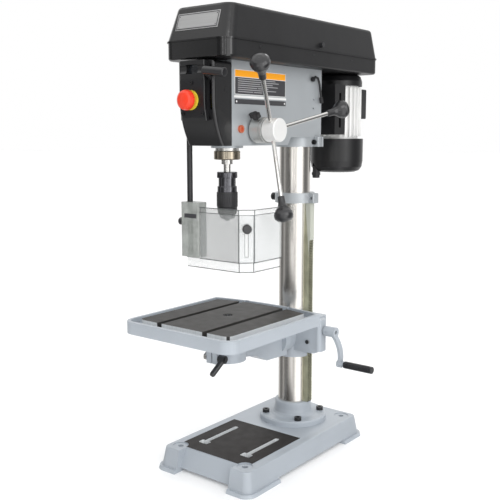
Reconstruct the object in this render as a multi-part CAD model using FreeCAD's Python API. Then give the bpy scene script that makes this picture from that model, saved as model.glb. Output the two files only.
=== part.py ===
import FreeCAD
import Part
import math
import os

# Variable-speed pillar drill press, bench type.  Millimetres, +Z up, the operator stands at -Y.
# Everything below is laid out from the column: X and Y are 0 on the column's axis, Z is 0 on the
# floor.  save() then shifts each piece so that the origin is the centre of the base's bolt pattern.

V = FreeCAD.Vector
X_AXIS = (1, 0, 0)
Y_AXIS = (0, 1, 0)
Z_AXIS = (0, 0, 1)

# ---- driving dimensions ----------------------------------------------------------------------
COLUMN_R = 36.5                 # 73 mm column
COLUMN_WALL = 5.0
COLUMN_TOP = 850.0
THROAT = 251.0                  # column axis to spindle axis
SPINDLE_Y = -THROAT
FIT = 0.05                      # radial running clearance of a shaft in its hole

BASE_HALF_X = 129.0
BASE_FRONT = -343.0
BASE_REAR = 113.0
BASE_H = 50.5
BASE_DRAFT = 9.5
BOLT_X = 92.0                   # base bolt pattern, half spacings
BOLT_Y = 192.0
BOLT_CENTRE_Y = (BASE_FRONT + BASE_REAR) / 2
BOLT_HOLE_R = 6.5

FLANGE_R = 81.0
FLANGE_TOP = 98.0
RACK_BOTTOM = 98.5
RACK_TOP = 582.0
RACK_TEETH_TOP = 495.0          # above this the bar is plain
RACK_OUT = 51.0
COLLAR_Z = 582.5
COLLAR_TOP = 606.0
GEAR_MODULE = 1.25
PITCH = math.pi * GEAR_MODULE

TABLE_TOP = 353.0
TABLE_RIM = 351.4
TABLE_UNDER = 325.0
TABLE_HALF_X = 150.0
TABLE_FRONT = -424.0
TILT_Z = 262.0                  # height of the table's tilt axis
WORM_Y = -22.0
WORM_Z = 288.0
RACK_PINION_TEETH = 28

HEAD_HALF_X = 47.0
HEAD_FRONT = -292.0
HEAD_REAR = 41.0
HEAD_BOTTOM = 718.0
HEAD_TOP = 889.0
CLAMP_BOTTOM = 713.0
HOUSING_TOP = 885.0

QUILL_R = 25.0
QUILL_BOTTOM = 707.5
QUILL_TOP = 868.0
SLEEVE_R = 14.0                 # pulley sleeve in the top of the head
LEVER_Y = -310.0                # pivot of the speed lever
LEVER_Z = 830.0
FEED_Y = -214.0
FEED_Z = 750.0
FEED_TEETH = 21

COVER_HALF_X = 86.0
COVER_FRONT = -351.0
COVER_REAR = 241.0
COVER_BOTTOM = 889.0
COVER_PARTING = 927.0
COVER_TOP = 995.0
COVER_CORNER = 27.0
COVER_WALL = 3.0

MOTOR_Y = 185.0
MOTOR_R = 58.0
BELT_Z = 934.0
SPINDLE_BELT_R = 50.0           # belt centre line on each pulley
MOTOR_BELT_R = 38.0

GUARD_ROD_X = -60.0
GUARD_ROD_Y = -302.0
GUARD_BOTTOM = 482.0
GUARD_TOP = 591.0
GUARD_RIGHT = 103.0
GUARD_SCREW_Z = 553.0


# ---- small helpers ---------------------------------------------------------------------------
def box(x0, x1, y0, y1, z0, z1):
    return Part.makeBox(x1 - x0, y1 - y0, z1 - z0, V(x0, y0, z0))


def rod(radius, start, axis, length):
    return Part.makeCylinder(radius, length, V(*start), V(*axis))


def tube(outer, inner, start, axis, length):
    return rod(outer, start, axis, length).cut(rod(inner, start, axis, length))


def fuse(first, *others):
    return first.fuse(list(others)).removeSplitter()


def cut(first, *others):
    return first.cut(list(others))


def rectangle_wire(x0, x1, y0, y1, z, r):
    """Rounded rectangle in a level plane."""
    k = r * (1 - math.sqrt(0.5))
    edges = [
        Part.makeLine(V(x0 + r, y0, z), V(x1 - r, y0, z)),
        Part.Arc(V(x1 - r, y0, z), V(x1 - k, y0 + k, z), V(x1, y0 + r, z)).toShape(),
        Part.makeLine(V(x1, y0 + r, z), V(x1, y1 - r, z)),
        Part.Arc(V(x1, y1 - r, z), V(x1 - k, y1 - k, z), V(x1 - r, y1, z)).toShape(),
        Part.makeLine(V(x1 - r, y1, z), V(x0 + r, y1, z)),
        Part.Arc(V(x0 + r, y1, z), V(x0 + k, y1 - k, z), V(x0, y1 - r, z)).toShape(),
        Part.makeLine(V(x0, y1 - r, z), V(x0, y0 + r, z)),
        Part.Arc(V(x0, y0 + r, z), V(x0 + k, y0 + k, z), V(x0 + r, y0, z)).toShape(),
    ]
    return Part.Wire(edges)


def slab(x0, x1, y0, y1, z0, z1, r):
    """Upright plate with rounded corners."""
    return Part.Face(rectangle_wire(x0, x1, y0, y1, z0, r)).extrude(V(0, 0, z1 - z0))


def tapered(lower, upper):
    """Solid between two level wires."""
    return Part.makeLoft([lower, upper], True, True)


def polygon(points, normal_axis, start, length):
    """Straight-sided outline, given in the two other axes, swept along one axis."""
    place = {
        "x": lambda a, b: V(start, a, b),
        "y": lambda a, b: V(a, start, b),
        "z": lambda a, b: V(a, b, start),
    }[normal_axis]
    sweep = {"x": V(length, 0, 0), "y": V(0, length, 0), "z": V(0, 0, length)}[normal_axis]
    corners = [place(a, b) for a, b in points]
    return Part.Face(Part.makePolygon(corners + corners[:1])).extrude(sweep)


def turned(profile, x, y, z=0.0):
    """Solid of revolution about an upright axis; profile is (radius, height) pairs."""
    corners = [V(r, 0, h) for r, h in profile]
    face = Part.Face(Part.makePolygon(corners + corners[:1]))
    solid = face.revolve(V(0, 0, 0), V(0, 0, 1), 360)
    solid.translate(V(x, y, z))
    return solid


def lay(solid, axis, origin):
    """Turns an upright solid onto another axis and moves it to its place."""
    result = solid.copy()
    result.Placement = FreeCAD.Placement(V(*origin), FreeCAD.Rotation(V(0, 0, 1), V(*axis)))
    return result


def around(solid, centre, axis, angle):
    result = solid.copy()
    result.rotate(V(*centre), V(*axis), angle)
    return result


def soften(solid, radius, wanted):
    """Fillets the edges whose middle point passes the test; keeps the solid if that fails."""
    edges = []
    for edge in solid.Edges:
        middle = edge.valueAt((edge.FirstParameter + edge.LastParameter) / 2)
        if wanted(middle, edge):
            edges.append(edge)
    if not edges:
        return solid
    try:
        result = solid.makeFillet(radius, edges)
    except Part.OCCError:
        return solid
    return result if result.isValid() else solid


def hexagon(across_flats, start, axis, height):
    """Hexagon head or nut."""
    r = across_flats / math.sqrt(3)
    corners = [(r * math.cos(math.radians(60 * k)), r * math.sin(math.radians(60 * k)))
               for k in range(6)]
    return lay(polygon(corners, "z", 0, height), axis, start)


def cap_screw(radius, start, axis, length, head_r, head_h):
    """Socket cap screw: the shank runs along axis from start, the head stands behind it."""
    back = tuple(-c for c in axis)
    socket_r = head_r * 0.5
    head = rod(head_r, start, back, head_h)
    mouth = tuple(s + b * head_h * 0.45 for s, b in zip(start, back))
    socket = rod(socket_r, mouth, back, head_h)
    return fuse(rod(radius, start, axis, length), head).cut(socket)


def gear(teeth, module, width):
    """Straight-sided gear with some backlash, upright, centred on the origin, a tooth on +X."""
    pitch_r = teeth * module / 2
    tip = (pitch_r + module, 0.20)
    root = (pitch_r - 1.15 * module, 0.62)
    half_pitch = math.pi / teeth
    points = []
    for k in range(teeth):
        middle = 2 * math.pi * k / teeth
        for side, corners in ((-1, (root, tip)), (1, (tip, root))):
            for r, spread in corners:
                points.append((r, middle + side * spread * half_pitch))
    outline = [(r * math.cos(a), r * math.sin(a)) for r, a in points]
    return polygon(outline, "z", 0, width)


def comb(low, high, root, tip, phase, share):
    """Rack outline along its length: (height, reach) pairs of straight-sided teeth."""
    half = PITCH / 4 * share
    outline = []
    first = math.ceil((low - phase) / PITCH + 0.6)
    last = math.floor((high - phase) / PITCH - 0.6)
    for k in range(first, last + 1):
        middle = phase + k * PITCH
        outline += [(middle - 1.45 * half, root), (middle - 0.55 * half, tip)]
        outline += [(middle + 0.55 * half, tip), (middle + 1.45 * half, root)]
    return outline


def save(name, *solids):
    """Shifts a piece into the part's frame and writes it."""
    shape = solids[0] if len(solids) == 1 else Part.makeCompound(list(solids))
    shape = shape.copy()
    shape.translate(V(0, -BOLT_CENTRE_Y, 0))
    if not shape.isValid():
        print("not valid:", name)
    if any(s.Volume <= 0 for s in shape.Solids) or not shape.Solids:
        print("no volume:", name)
    shape.exportStep("parts/" + name + ".step")


# ---- base, flange, column ----------------------------------------------------------------------
def base_holes():
    return [(sx * BOLT_X, BOLT_CENTRE_Y + sy * BOLT_Y) for sx in (-1, 1) for sy in (-1, 1)]


FLANGE_BOLTS = [(sx * 47.5, sy * 47.5) for sx in (-1, 1) for sy in (-1, 1)]


def make_base():
    d = BASE_DRAFT
    body = tapered(
        rectangle_wire(-BASE_HALF_X, BASE_HALF_X, BASE_FRONT, BASE_REAR, 0, 20),
        rectangle_wire(-BASE_HALF_X + d, BASE_HALF_X - d, BASE_FRONT + d, BASE_REAR - d, BASE_H, 14))
    body = soften(body, 3.0, lambda m, e: abs(m.z - BASE_H) < 0.1)
    lip = tapered(
        rectangle_wire(-BASE_HALF_X - 6, BASE_HALF_X + 6, BASE_FRONT - 6, BASE_REAR + 6, 0, 26),
        rectangle_wire(-BASE_HALF_X - 4, BASE_HALF_X + 4, BASE_FRONT - 4, BASE_REAR + 4, 8, 24))
    body = fuse(body, lip)
    recess = polygon([(-360, -5), (-334, -5), (-309, BASE_H + 5), (-360, BASE_H + 5)], "x", -74, 148)
    hollow = tapered(
        rectangle_wire(-118, 118, -321, 102, -1, 12),
        rectangle_wire(-110, 110, -297, 94, 40, 10))
    front_arch = box(-74, 74, -400, -300, -1, 9)
    side_arch = box(-200, 200, -236, 29, -1, 9)
    rear_arch = box(-74, 74, 80, 200, -1, 9)
    pad = box(-98, 98, -308, -110, BASE_H - 2, BASE_H + 1)
    body = cut(body, recess, hollow, front_arch, side_arch, rear_arch)
    posts = [rod(16, (x, y, 0), Z_AXIS, BASE_H - 1.5) for x, y in base_holes()]
    seats = [rod(13, (x, y, 26), Z_AXIS, BASE_H - 28) for x, y in FLANGE_BOLTS]
    body = fuse(body, pad, *posts, *seats)
    tools = []
    for x, y in base_holes():
        tools.append(rod(BOLT_HOLE_R, (x, y, -1), Z_AXIS, BASE_H + 5))
        tools.append(rod(17.5, (x, y, BASE_H - 1.5), Z_AXIS, 10))
    for x in (-60, 60):
        tools.append(slab(x - 5.5, x + 5.5, -270, -145, 30, BASE_H + 5, 5.4))
        tools.append(slab(x - 12.5, x + 12.5, -270, -253, 30, BASE_H + 5, 4))
    for x, y in FLANGE_BOLTS:
        tools.append(rod(6.0, (x, y, 30), Z_AXIS, BASE_H))
    save("base", cut(body, *tools))


def make_flange():
    profile = [
        (COLUMN_R + 0.02, BASE_H), (FLANGE_R, BASE_H), (FLANGE_R, 61), (FLANGE_R - 3, 64),
        (56, 64), (50, 66.5), (46.5, 71), (44.5, 80), (44, FLANGE_TOP - 2), (42, FLANGE_TOP),
        (COLUMN_R + 0.02, FLANGE_TOP)]
    holes = [rod(6.6, (x, y, BASE_H - 1), Z_AXIS, 30) for x, y in FLANGE_BOLTS]
    save("column_flange", cut(turned(profile, 0, 0), *holes))
    bolts = []
    for x, y in FLANGE_BOLTS:
        bolts.append(cap_screw(5.95, (x, y, 64), (0, 0, -1), 33.5, 8.5, 8))
    save("flange_bolts", *bolts)


def make_column():
    length = COLUMN_TOP - BASE_H
    save("column", tube(COLUMN_R, COLUMN_R - COLUMN_WALL, (0, 0, BASE_H), Z_AXIS, length))


# ---- rack, its collar and the table bracket ------------------------------------------------------
PINION_R = RACK_PINION_TEETH * GEAR_MODULE / 2
RACK_PITCH_X = RACK_OUT - GEAR_MODULE
WHEEL_X = RACK_PITCH_X + PINION_R
WHEEL_Z = 258.7
WORM_PITCH_R = 9.0
WORM_TIP_R = 9.6
WHEEL_R = WORM_Z - WHEEL_Z - WORM_PITCH_R
WHEEL_TEETH = 26


def make_rack():
    root = RACK_PITCH_X - 1.2 * GEAR_MODULE
    teeth = comb(RACK_BOTTOM, RACK_TEETH_TOP, root, RACK_OUT, WHEEL_Z + PITCH / 2, 0.86)
    plain = RACK_OUT - 0.4
    outline = [(RACK_BOTTOM, root)] + teeth + [(RACK_TEETH_TOP, root), (RACK_TEETH_TOP, plain),
                                               (RACK_TOP, plain), (RACK_TOP, 30), (RACK_BOTTOM, 30)]
    bar = polygon([(reach, height) for height, reach in outline], "y", -8, 16)
    bore = rod(COLUMN_R + 0.35, (0, 0, 0), Z_AXIS, 900)
    save("rack", bar.cut(bore))


def make_rack_collar():
    ring = rod(47, (0, 0, COLLAR_Z), Z_AXIS, COLLAR_TOP - COLLAR_Z)
    lug = slab(40, 60, -9, 13, COLLAR_Z, COLLAR_TOP - 1, 3)
    ring = fuse(ring, lug)
    ring = soften(ring, 1.2, lambda m, e: abs(m.z - COLLAR_TOP) < 0.05 and math.hypot(m.x, m.y) > 46)
    lip = rod(52.5, (0, 0, COLLAR_Z - 1), Z_AXIS, 5).cut(rod(36, (0, 0, 0), Z_AXIS, 700))
    hole = rod(3.4, (53, -30, 594), Y_AXIS, 60)
    screw_hole = rod(4.1, (-60, -6, 594), X_AXIS, 40)
    under = lip.common(box(30, 60, -9, 9, COLLAR_Z - 1, COLLAR_Z + 0.01))
    ring = cut(ring, rod(COLUMN_R + 0.02, (0, 0, 500), Z_AXIS, 200), hole, screw_hole, under)
    save("rack_collar", ring)


def make_table_bracket():
    low = 214
    high = 316
    collar = rod(47, (0, 0, low), Z_AXIS, high - low)
    face = rod(34, (0, -58, TILT_Z), Y_AXIS, 30)
    housing = slab(10, 84, -38, 20, 232, high, 8)
    nose = slab(60, 101, -38, -6, 238, 314, 9)
    lug = slab(-67, -30, -13, 13, 226, 300, 5)
    body = fuse(collar, face, housing, nose, lug)
    body = soften(body, 2.0, lambda m, e: abs(m.z - high) < 0.05 and m.x > 20)
    bore = rod(COLUMN_R + FIT, (0, 0, 0), Z_AXIS, 900)
    rack_way = box(30, RACK_OUT + 0.6, -8.5, 8.5, 0, 900)
    gear_room = rod(WHEEL_R + GEAR_MODULE + 1.5, (WHEEL_X, -30.5, WHEEL_Z), Y_AXIS, 17)
    pinion_room = rod(PINION_R + GEAR_MODULE + 1.0, (WHEEL_X, -14, WHEEL_Z), Y_AXIS, 24)
    axle_hole = rod(5 + FIT, (WHEEL_X, -50, WHEEL_Z), Y_AXIS, 80)
    worm_room = rod(12, (WHEEL_X - 20, WORM_Y, WORM_Z), X_AXIS, 40)
    worm_hole = rod(7 + FIT, (WHEEL_X, WORM_Y, WORM_Z), X_AXIS, 60)
    worm_end = rod(5 + FIT, (38, WORM_Y, WORM_Z), X_AXIS, 30)
    tilt_hole = rod(8.2, (0, -70, TILT_Z), Y_AXIS, 40)
    clamp_slot = box(-75, -36, -1.5, 1.5, 200, 330)
    clamp_hole = rod(5.2, (-56, -20, 262), Y_AXIS, 40)
    body = cut(body, bore, rack_way, gear_room, pinion_room, axle_hole, worm_room, worm_hole,
               worm_end, tilt_hole, clamp_slot, clamp_hole)
    save("table_bracket", body)
    bolt = cap_screw(8, (0, -105.0, TILT_Z), Y_AXIS, 64, 13, 10)
    clamp = fuse(rod(5, (-56, -15, 262), Y_AXIS, 36), hexagon(16, (-56, -13, 262), (0, -1, 0), 7),
                 hexagon(16, (-56, 13, 262), Y_AXIS, 8))
    save("bracket_bolts", bolt, clamp)


def make_table_gears():
    pinion = lay(gear(RACK_PINION_TEETH, GEAR_MODULE, 15), Y_AXIS, (0, 0, 0))
    pinion = align_tooth(pinion, Y_AXIS, (-1, 0, 0))
    pinion.translate(V(WHEEL_X, -7.5, WHEEL_Z))
    wheel_module = 2 * WHEEL_R / WHEEL_TEETH
    wheel = lay(gear(WHEEL_TEETH, wheel_module, 12), Y_AXIS, (0, 0, 0))
    wheel.translate(V(WHEEL_X, WORM_Y - 6, WHEEL_Z))
    throat = Part.makeTorus(WORM_Z - WHEEL_Z, WORM_TIP_R + 0.35, V(WHEEL_X, WORM_Y, WHEEL_Z),
                            V(*Y_AXIS))
    wheel = wheel.cut(throat)
    axle = rod(5, (WHEEL_X, -42, WHEEL_Z), Y_AXIS, 60)
    save("rack_pinion", fuse(pinion, wheel, axle))
    thread = rod(7.6, (WHEEL_X - 18, WORM_Y, WORM_Z), X_AXIS, 36)
    ridges = []
    worm_pitch = math.pi * wheel_module
    for k in range(-3, 4):
        if abs(k) < 1:
            continue
        ridge = turned([(6, -1.0), (WORM_TIP_R, -0.5), (WORM_TIP_R, 0.5), (6, 1.0)], 0, 0)
        ridges.append(lay(ridge, X_AXIS, (WHEEL_X + (k - 0.5 * math.copysign(1, k)) * worm_pitch,
                                          WORM_Y, WORM_Z)))
    shaft = fuse(rod(5, (40, WORM_Y, WORM_Z), X_AXIS, 30),
                 rod(7, (WHEEL_X + 17, WORM_Y, WORM_Z), X_AXIS, 18.2),
                 rod(6, (WHEEL_X + 34, WORM_Y, WORM_Z), X_AXIS, 30))
    save("worm_shaft", fuse(shaft, thread, *ridges))


def align_tooth(solid, axis, direction):
    """Spins a gear laid on an axis so that a tooth points along the wanted direction."""
    tooth = FreeCAD.Rotation(V(0, 0, 1), V(*axis)).multVec(V(1, 0, 0))
    angle = math.degrees(tooth.getAngle(V(*direction)))
    sign = 1 if tooth.cross(V(*direction)).dot(V(*axis)) >= 0 else -1
    return around(solid, (0, 0, 0), axis, sign * angle)


def make_crank():
    hub_x = 108.0
    hub = rod(12, (hub_x, WORM_Y, WORM_Z), X_AXIS, 27)
    washer = rod(9.5, (hub_x - 5, WORM_Y, WORM_Z), X_AXIS, 5)
    swing = 72.0
    top = V(hub_x + 20, WORM_Y, WORM_Z - 6)
    low = V(hub_x + 38, WORM_Y, WORM_Z - swing)
    path = Part.Arc(top, V(hub_x + 36, WORM_Y, WORM_Z - swing * 0.45), low).toShape()
    section = Part.Wire(Part.makePolygon([
        top + V(0, -7.5, -4.5), top + V(0, 7.5, -4.5), top + V(0, 7.5, 4.5),
        top + V(0, -7.5, 4.5), top + V(0, -7.5, -4.5)]))
    arm = Part.Wire([path]).makePipeShell([section], True, True)
    foot = rod(8.5, (hub_x + 33, WORM_Y, WORM_Z - swing), X_AXIS, 11)
    set_screw = rod(2.6, (hub_x + 6, WORM_Y - 11, WORM_Z), (0, -1, 0), 2.2)
    body = fuse(hub, washer, arm, foot).cut(rod(6, (hub_x - 6, WORM_Y, WORM_Z), X_AXIS, 30))
    body = cut(body, set_screw, rod(5, (hub_x + 24, WORM_Y, WORM_Z), X_AXIS, 10))
    pin = fuse(rod(3.5, (hub_x + 44, WORM_Y, WORM_Z - swing), X_AXIS, 70),
               rod(5, (hub_x + 44, WORM_Y, WORM_Z - swing), X_AXIS, 5.6))
    save("crank_arm", body, pin)
    grip_x = hub_x + 50
    grip = rod(8.3, (grip_x, WORM_Y, WORM_Z - swing), X_AXIS, 74)
    grip = grip.makeFillet(2.0, [e for e in grip.Edges if e.Length > 40 and len(e.Vertexes) == 1])
    grooves = []
    for k in range(14):
        a = 2 * math.pi * k / 14
        grooves.append(rod(0.9, (grip_x + 6, WORM_Y + 8.5 * math.cos(a),
                                 WORM_Z - swing + 8.5 * math.sin(a)), X_AXIS, 62))
    grip = cut(grip, rod(3.5 + FIT, (grip_x - 1, WORM_Y, WORM_Z - swing), X_AXIS, 67), *grooves)
    save("crank_grip", grip)


# ---- table ---------------------------------------------------------------------------------------
def table_outline(inset, z, corner):
    """Plan of the table: straight front and sides, rear edge bowed toward the column."""
    x = TABLE_HALF_X - inset
    front = TABLE_FRONT + inset
    side_rear = -114 - inset
    middle_rear = -95 - inset
    k = corner * (1 - math.sqrt(0.5))
    edges = [
        Part.makeLine(V(-x, side_rear, z), V(-x, front + corner, z)),
        Part.Arc(V(-x, front + corner, z), V(-x + k, front + k, z), V(-x + corner, front, z)).toShape(),
        Part.makeLine(V(-x + corner, front, z), V(x - corner, front, z)),
        Part.Arc(V(x - corner, front, z), V(x - k, front + k, z), V(x, front + corner, z)).toShape(),
        Part.makeLine(V(x, front + corner, z), V(x, side_rear, z)),
        Part.Arc(V(x, side_rear, z), V(0, middle_rear, z), V(-x, side_rear, z)).toShape(),
    ]
    return Part.Wire(edges)


def make_table():
    plate = Part.Face(table_outline(0, TABLE_UNDER, 30)).extrude(V(0, 0, TABLE_RIM - TABLE_UNDER))
    plate = soften(plate, 2.0, lambda m, e: abs(m.z - TABLE_RIM) < 0.05)
    gutter = Part.Face(table_outline(8, TABLE_RIM - 11, 23)).extrude(V(0, 0, 40))
    top = Part.Face(table_outline(26, TABLE_RIM - 12, 16)).extrude(V(0, 0, TABLE_TOP - TABLE_RIM + 12))
    under = Part.Face(table_outline(9, TABLE_UNDER - 1, 22)).extrude(V(0, 0, 8))
    plate = cut(plate, gutter, under)
    hub = rod(44, (0, SPINDLE_Y, 300), Z_AXIS, 36)
    spigot = rod(26, (0, SPINDLE_Y, 258), Z_AXIS, 50)
    ribs = [box(-140, 140, SPINDLE_Y - 5, SPINDLE_Y + 5, 326, 336),
            box(-5, 5, TABLE_FRONT + 10, -106, 326, 336)]
    body = fuse(plate, top, hub, spigot, *ribs)
    tools = [rod(11, (0, SPINDLE_Y, 200), Z_AXIS, 200),
             rod(15, (0, SPINDLE_Y, 200), Z_AXIS, TABLE_UNDER - 200)]
    for x in (-62.5, 62.5):
        tools.append(box(x - 6.5, x + 6.5, TABLE_FRONT + 25, -100, TABLE_TOP - 14, TABLE_TOP + 5))
    save("table", cut(body, *tools))


def make_table_arm():
    ring = rod(40, (0, SPINDLE_Y, 254), Z_AXIS, 45.6)
    web = polygon([(-58.5, 297), (-58.5, 224), (-138, 228), (-174, 247), (-232, 258), (-232, 297)],
                  "x", -22, 44)
    face = rod(34, (0, -78, TILT_Z), Y_AXIS, 19.5)
    lugs = box(-15, 15, SPINDLE_Y - 54, SPINDLE_Y - 30, 256, 282)
    body = fuse(ring, web, face, lugs)
    body = soften(body, 2.5, lambda m, e: abs(m.z - 254) < 0.05 and m.y < SPINDLE_Y - 10)
    tools = [
        rod(26 + FIT, (0, SPINDLE_Y, 200), Z_AXIS, 200),
        box(-1.5, 1.5, SPINDLE_Y - 60, SPINDLE_Y - 20, 250, 310),
        rod(5 + FIT, (-30, SPINDLE_Y - 47, 268), X_AXIS, 80),
        rod(8.3, (0, -140, TILT_Z), Y_AXIS, 90),
        slab(-14.5, 14.5, -117, -104, TILT_Z - 14.5, TILT_Z + 60, 4),
    ]
    save("table_arm", cut(body, *tools))
    bolt_y = SPINDLE_Y - 47
    pin = rod(5, (-15.5, bolt_y, 268), X_AXIS, 50)
    nut = hexagon(16, (-15.5, bolt_y, 268), (-1, 0, 0), 7)
    hub = rod(8.5, (16, bolt_y, 268), X_AXIS, 16)
    bar = turned([(0, 0), (6.2, 0), (6.2, 33), (5.4, 36.5), (3.5, 38.4), (0, 39)], 0, 0)
    handle = lay(bar, (-0.22, -0.66, -0.72), (26, bolt_y - 4, 265))
    save("table_lock_lever", fuse(pin, nut, hub, handle))


# ---- head ------------------------------------------------------------------------------------------
SIDE_HOLES = [(6, 821), (4.5, 800.5)]


def make_head():
    outer = polygon([(HEAD_FRONT, HEAD_BOTTOM), (-96, HEAD_BOTTOM), (-84, 735), (HEAD_REAR, 735),
                     (HEAD_REAR, HEAD_TOP), (HEAD_FRONT, HEAD_TOP)], "x", -HEAD_HALF_X, 2 * HEAD_HALF_X)
    outer = soften(outer, 4.0, lambda m, e: abs(abs(m.x) - HEAD_HALF_X) < 0.05
                   and abs(m.y - HEAD_REAR) < 0.05)
    cavity = box(-39, 39, HEAD_FRONT + 8, HEAD_REAR - 8, 743, HEAD_TOP + 1)
    front_cavity = box(-39, 39, HEAD_FRONT + 8, -92, 726, 744)
    quill_boss = rod(34, (0, SPINDLE_Y, CLAMP_BOTTOM), Z_AXIS, HEAD_TOP - CLAMP_BOTTOM)
    clamp_ring = rod(46, (0, 0, CLAMP_BOTTOM), Z_AXIS, 735 - CLAMP_BOTTOM)
    column_boss = rod(46, (0, 0, 734), Z_AXIS, 110).common(box(-50, 50, -50, HEAD_REAR, 700, 900))
    feed_boss = rod(18, (-HEAD_HALF_X - 3, FEED_Y, FEED_Z), X_AXIS, 2 * HEAD_HALF_X + 6)
    lug = slab(30, 57, 12, 36, CLAMP_BOTTOM, 736, 3)
    body = fuse(cut(outer, cavity, front_cavity), quill_boss, clamp_ring, column_boss,
                feed_boss, lug)
    tools = [
        rod(QUILL_R + FIT, (0, SPINDLE_Y, 600), Z_AXIS, 271),
        rod(SLEEVE_R + FIT, (0, SPINDLE_Y, 860), Z_AXIS, 40),
        rod(COLUMN_R + 0.02, (0, 0, 600), Z_AXIS, COLUMN_TOP - 600),
        rod(7 + FIT, (-70, FEED_Y, FEED_Z), X_AXIS, 140),
        rod(FEED_TEETH * GEAR_MODULE / 2 + GEAR_MODULE + 0.8, (-9, FEED_Y, FEED_Z), X_AXIS, 18),
        box(-1.5, 70, 22.6, 25.4, 700, 734.5),
        rod(3.6, (47, 0, 723.6), Y_AXIS, 60),
        rod(6.0, (47, 2, 723.6), Y_AXIS, 10),
    ]
    for y, z in SIDE_HOLES:
        tools.append(rod(2.6, (HEAD_HALF_X - 3.5, y, z), X_AXIS, 10))
    tools.append(rod(4.2, (30, -264, 752), X_AXIS, 40))
    tools.append(rod(4 + FIT, (30, -4, 866), X_AXIS, 30))
    save("head_casting", cut(body, *tools))


def front_profile(push, low, top):
    """Side outline of the front housing, pushed forward by some millimetres."""
    rear = HEAD_FRONT - 0.2
    front = -348 - push
    edges = [
        Part.makeLine(V(0, rear, low), V(0, rear, top)),
        Part.makeLine(V(0, rear, top), V(0, front, top)),
        Part.makeLine(V(0, front, top), V(0, front, 812)),
        Part.Arc(V(0, front, 812), V(0, front + 7, 765), V(0, front + 28.5, low)).toShape(),
        Part.makeLine(V(0, front + 28.5, low), V(0, rear, low)),
    ]
    return Part.Face(Part.Wire(edges))


def make_front_housing():
    face = front_profile(0, HEAD_BOTTOM, HOUSING_TOP)
    face.translate(V(-HEAD_HALF_X, 0, 0))
    shell = face.extrude(V(2 * HEAD_HALF_X, 0, 0))
    shell = soften(shell, 6.0, lambda m, e: abs(abs(m.x) - HEAD_HALF_X) < 0.05 and m.y < -318)
    inner = front_profile(-3, HEAD_BOTTOM + 3, HOUSING_TOP - 3)
    inner.translate(V(-HEAD_HALF_X + 3, 1.0, 0))
    shell = shell.cut(inner.extrude(V(2 * HEAD_HALF_X - 6, 0, 0)))
    pad_face = front_profile(12, HEAD_BOTTOM, HOUSING_TOP)
    pad_face.translate(V(-31, 0, 0))
    pad = pad_face.extrude(V(64, 0, 0)).common(box(-60, 60, -400, -345.5, 768, HOUSING_TOP))
    waist = lay(rod(11, (0, 0, -60), Z_AXIS, 120), X_AXIS, (0, -368, 868))
    pad = soften(pad, 2.5, lambda m, e: abs(abs(m.x - 1) - 32) < 0.05 and m.y < -358)
    slot = box(36.5, 42.5, -380, -330, 790, 876)
    window = box(-15, 15, -370, -340, 859, 877)
    button = rod(11, (0, -380, 808), Y_AXIS, 60)
    wrist = [rod(2.0, (x, -364, z), Y_AXIS, 14) for x, z in PANEL_SCREWS]
    body = fuse(shell, pad.cut(waist))
    body = cut(body, slot, window, button, *wrist, rod(4 + FIT, (40, LEVER_Y, LEVER_Z), X_AXIS, 20))
    save("front_housing", body)
    skin = front_profile(13.6, HEAD_BOTTOM, HOUSING_TOP).cut(front_profile(12, HEAD_BOTTOM, HOUSING_TOP))
    skin.translate(V(-28, 0, 0))
    plate = slab(-28, 32, 774, 848, -30, 0, 4)
    plate.rotate(V(0, 0, 0), V(1, 0, 0), 90)
    plate.translate(V(0, -375, 0))
    holes = [rod(2.0, (x, -364, z), Y_AXIS, 12) for x, z in PANEL_SCREWS]
    panel = skin.extrude(V(60, 0, 0)).common(plate)
    save("control_panel", cut(panel, rod(11, (0, -380, 808), Y_AXIS, 60), *holes))
    lens = slab(-15, 15, 859, 877, 0, 2, 1.5)
    lens.rotate(V(0, 0, 0), V(1, 0, 0), 90)
    lens.translate(V(0, -348.2, 0))
    save("display_window", lens.common(box(-14.9, 14.9, -360, -340, 859.1, 876.9)))


PANEL_SCREWS = [(2, 842), (-24, 782), (28, 782)]


def make_estop():
    ring = tube(19.5, 9, (0, -361.7, 808), (0, -1, 0), 3.6)
    barrel = tube(10.9, 6 + FIT, (0, -365.3, 808), Y_AXIS, 34)
    block = box(-14, 14, -331.5, -316, 794, 822).cut(rod(6 + FIT, (0, -340, 808), Y_AXIS, 22))
    save("estop_body", fuse(ring, barrel, block))
    profile = [(0, -34), (5.9, -34), (5.9, 5), (17, 5.2), (20, 7.5), (20, 13), (18.5, 17.5),
               (14, 20.5), (7, 22), (0, 22.4)]
    save("estop_button", lay(turned(profile, 0, 0), (0, -1, 0), (0, -365.5, 808)))


def make_speed_lever():
    grip_y = -370.0
    grip_z = 864.0
    plate = polygon([(LEVER_Y + 6, LEVER_Z - 7), (grip_y + 5, grip_z - 8), (grip_y - 5, grip_z - 2),
                     (grip_y - 4, grip_z + 7), (LEVER_Y - 6, LEVER_Z + 8)], "x", 37.5, 4)
    boss = rod(10, (37.5, LEVER_Y, LEVER_Z), X_AXIS, 4)
    pin = rod(4, (30, LEVER_Y, LEVER_Z), X_AXIS, 17.5)
    lean = (0.9932, 0, -0.1165)
    stud = rod(3.4, (39, grip_y, grip_z), lean, 46)
    save("speed_lever", fuse(plate, boss, pin, stud))
    grip = rod(8.8, (42, grip_y, grip_z - 0.3), lean, 53)
    grip = grip.makeFillet(2.5, [e for e in grip.Edges if len(e.Vertexes) == 1])
    save("speed_grip", cut(grip, rod(3.42, (39, grip_y, grip_z), lean, 46),
                           box(30, 41.6, -400, -340, 840, 890)))


# ---- quill, spindle, chuck ---------------------------------------------------------------------------
FEED_R = FEED_TEETH * GEAR_MODULE / 2
QUILL_RACK_Y = FEED_Y - FEED_R           # pitch line of the rack cut in the quill


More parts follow.
